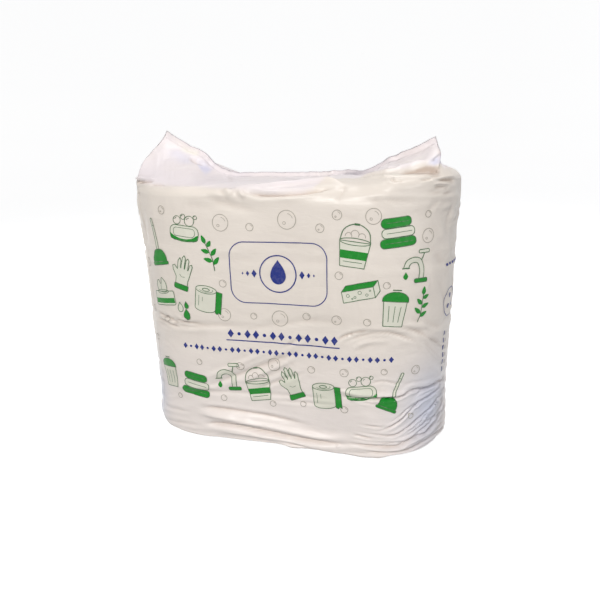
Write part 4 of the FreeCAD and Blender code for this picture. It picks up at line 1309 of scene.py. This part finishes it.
# the weld line, partly painted shade, with painted shade along the fin's edge, on the bunched fin and in the creases
base = m.mix(m.math("MULTIPLY", sep.outputs["Blue"], 0.8), base, SEAM_AND_SHADE)
base = m.mix(m.ramp(grain, 0.35, 0.75, 0.0, 0.10), base, srgb(206, 196, 188))
m.link(base, m.bsdf.inputs["Base Color"])
m.link(m.ramp(grain, 0.3, 0.7, 0.32, 0.46), m.bsdf.inputs["Roughness"])
m.bsdf.inputs["Specular IOR Level"].default_value = 0.42
m.bsdf.inputs["Sheen Weight"].default_value = 0.06
m.bsdf.inputs["Sheen Roughness"].default_value = 0.4
slack = m.noise(m.stretch(pos, (26, 26, 85)), 1.0, 6, 0.62, 0.9)
fine = m.noise(m.stretch(pos, (420, 420, 640)), 1.0, 3, 0.5)
n1 = m.bump(slack, 0.42, 0.0016)
n2 = m.bump(fine, 0.10, 0.0003, n1)
m.link(n2, m.bsdf.inputs["Normal"])
FILM = m.mat
film.data.materials.append(FILM)


def ink_material(name, colour, thin):
    """ink sunk in the film: its own colour, worn a little, on the film's own relief"""
    m = Nodes(name)
    pos = m.new("ShaderNodeTexCoord").outputs["Object"]
    worn = m.noise(m.stretch(pos, (160, 160, 160)), 1.0, 4, 0.6)
    m.link(m.mix(m.ramp(worn, 0.45, 0.8, 0.0, thin), colour, srgb(214, 208, 196)), m.bsdf.inputs["Base Color"])
    m.link(m.ramp(worn, 0.3, 0.7, 0.34, 0.46), m.bsdf.inputs["Roughness"])
    m.bsdf.inputs["Specular IOR Level"].default_value = 0.28
    slack = m.noise(m.stretch(pos, (26, 26, 85)), 1.0, 6, 0.62, 0.9)
    m.link(m.bump(slack, 0.42, 0.0016), m.bsdf.inputs["Normal"])
    return m.mat


for key, colour, thin in (("line", srgb(58, 104, 62), 0.30), ("green", srgb(6, 132, 32), 0.04), ("tint", srgb(224, 223, 208), 0.2),
                          ("navy", srgb(24, 42, 124), 0.10), ("grey", srgb(168, 162, 150), 0.4)):
    INK_OBJ[key].data.materials.append(ink_material("print_" + key, colour, thin))

# ------------------------------------------------------------------ floor and light
bowl = []
prof = [(0, 0), (2.0, 0), (3.2, 0), (3.7, 0.05), (4.15, 0.2), (4.5, 0.5), (4.7, 0.95), (4.75, 1.6), (4.75, 2.6)]
seg = 72
bv, bf = [(0, 0, 0)], []
for r_, z_ in prof[1:]:
    for k in range(seg):
        a_ = 2 * math.pi * k / seg
        bv.append((r_ * math.cos(a_), r_ * math.sin(a_), z_))
for k in range(seg):
    bf.append((0, 1 + k, 1 + (k + 1) % seg))
for i in range(len(prof) - 2):
    for k in range(seg):
        a_, b_ = 1 + i * seg + k, 1 + i * seg + (k + 1) % seg
        bf.append((a_, a_ + seg, b_ + seg, b_))
fm = bpy.data.meshes.new("studio_floor")
fm.from_pydata(bv, [], bf)
fm.polygons.foreach_set("use_smooth", np.ones(len(fm.polygons), bool))
floor = bpy.data.objects.new("studio_floor", fm)
scene.collection.objects.link(floor)
fmat = bpy.data.materials.new("studio_floor")
fmat.use_nodes = True
fb = fmat.node_tree.nodes["Principled BSDF"]
fb.inputs["Base Color"].default_value = (0.80, 0.80, 0.80, 1)
fb.inputs["Emission Color"].default_value = (1, 1, 1, 1)
fb.inputs["Emission Strength"].default_value = 0.71
fb.inputs["Roughness"].default_value = 0.9
fb.inputs["Specular IOR Level"].default_value = 0.1
fm.materials.append(fmat)

world = bpy.data.worlds.new("studio")
scene.world = world
world.use_nodes = True
bg = world.node_tree.nodes["Background"]
bg.inputs["Color"].default_value = (0.97, 0.98, 1.0, 1)
bg.inputs["Strength"].default_value = 0.27


def area(name, at, to, size, watts, colour=(1, 1, 1), shine=True):
    d = bpy.data.lights.new(name, "AREA")
    d.shape, d.size, d.energy, d.color = "DISK", size, watts, colour
    o = bpy.data.objects.new(name, d)
    o.location = at
    o.rotation_euler = (Vector(to) - Vector(at)).to_track_quat("-Z", "Y").to_euler()
    o.visible_glossy = shine
    scene.collection.objects.link(o)
    return o


area("key", (-0.22, -1.78, 1.45), (0, 0, 0.2), 0.42, 27.3, (1.0, 0.985, 0.965))
area("top", (0.15, 0.5, 1.9), (0, 0, 0.3), 0.8, 9.5, (1.0, 0.99, 0.99))
area("fill", (1.75, -1.25, 0.75), (0, 0, 0.2), 0.9, 9.5, (0.98, 0.98, 1.0))
area("back", (-1.72, 1.35, 0.36), (0, 0, 0.2), 0.35, 20, (1.0, 0.99, 0.98), False)
floor.visible_diffuse = False
scene.view_settings.view_transform = "Standard"
scene.view_settings.look = "None"
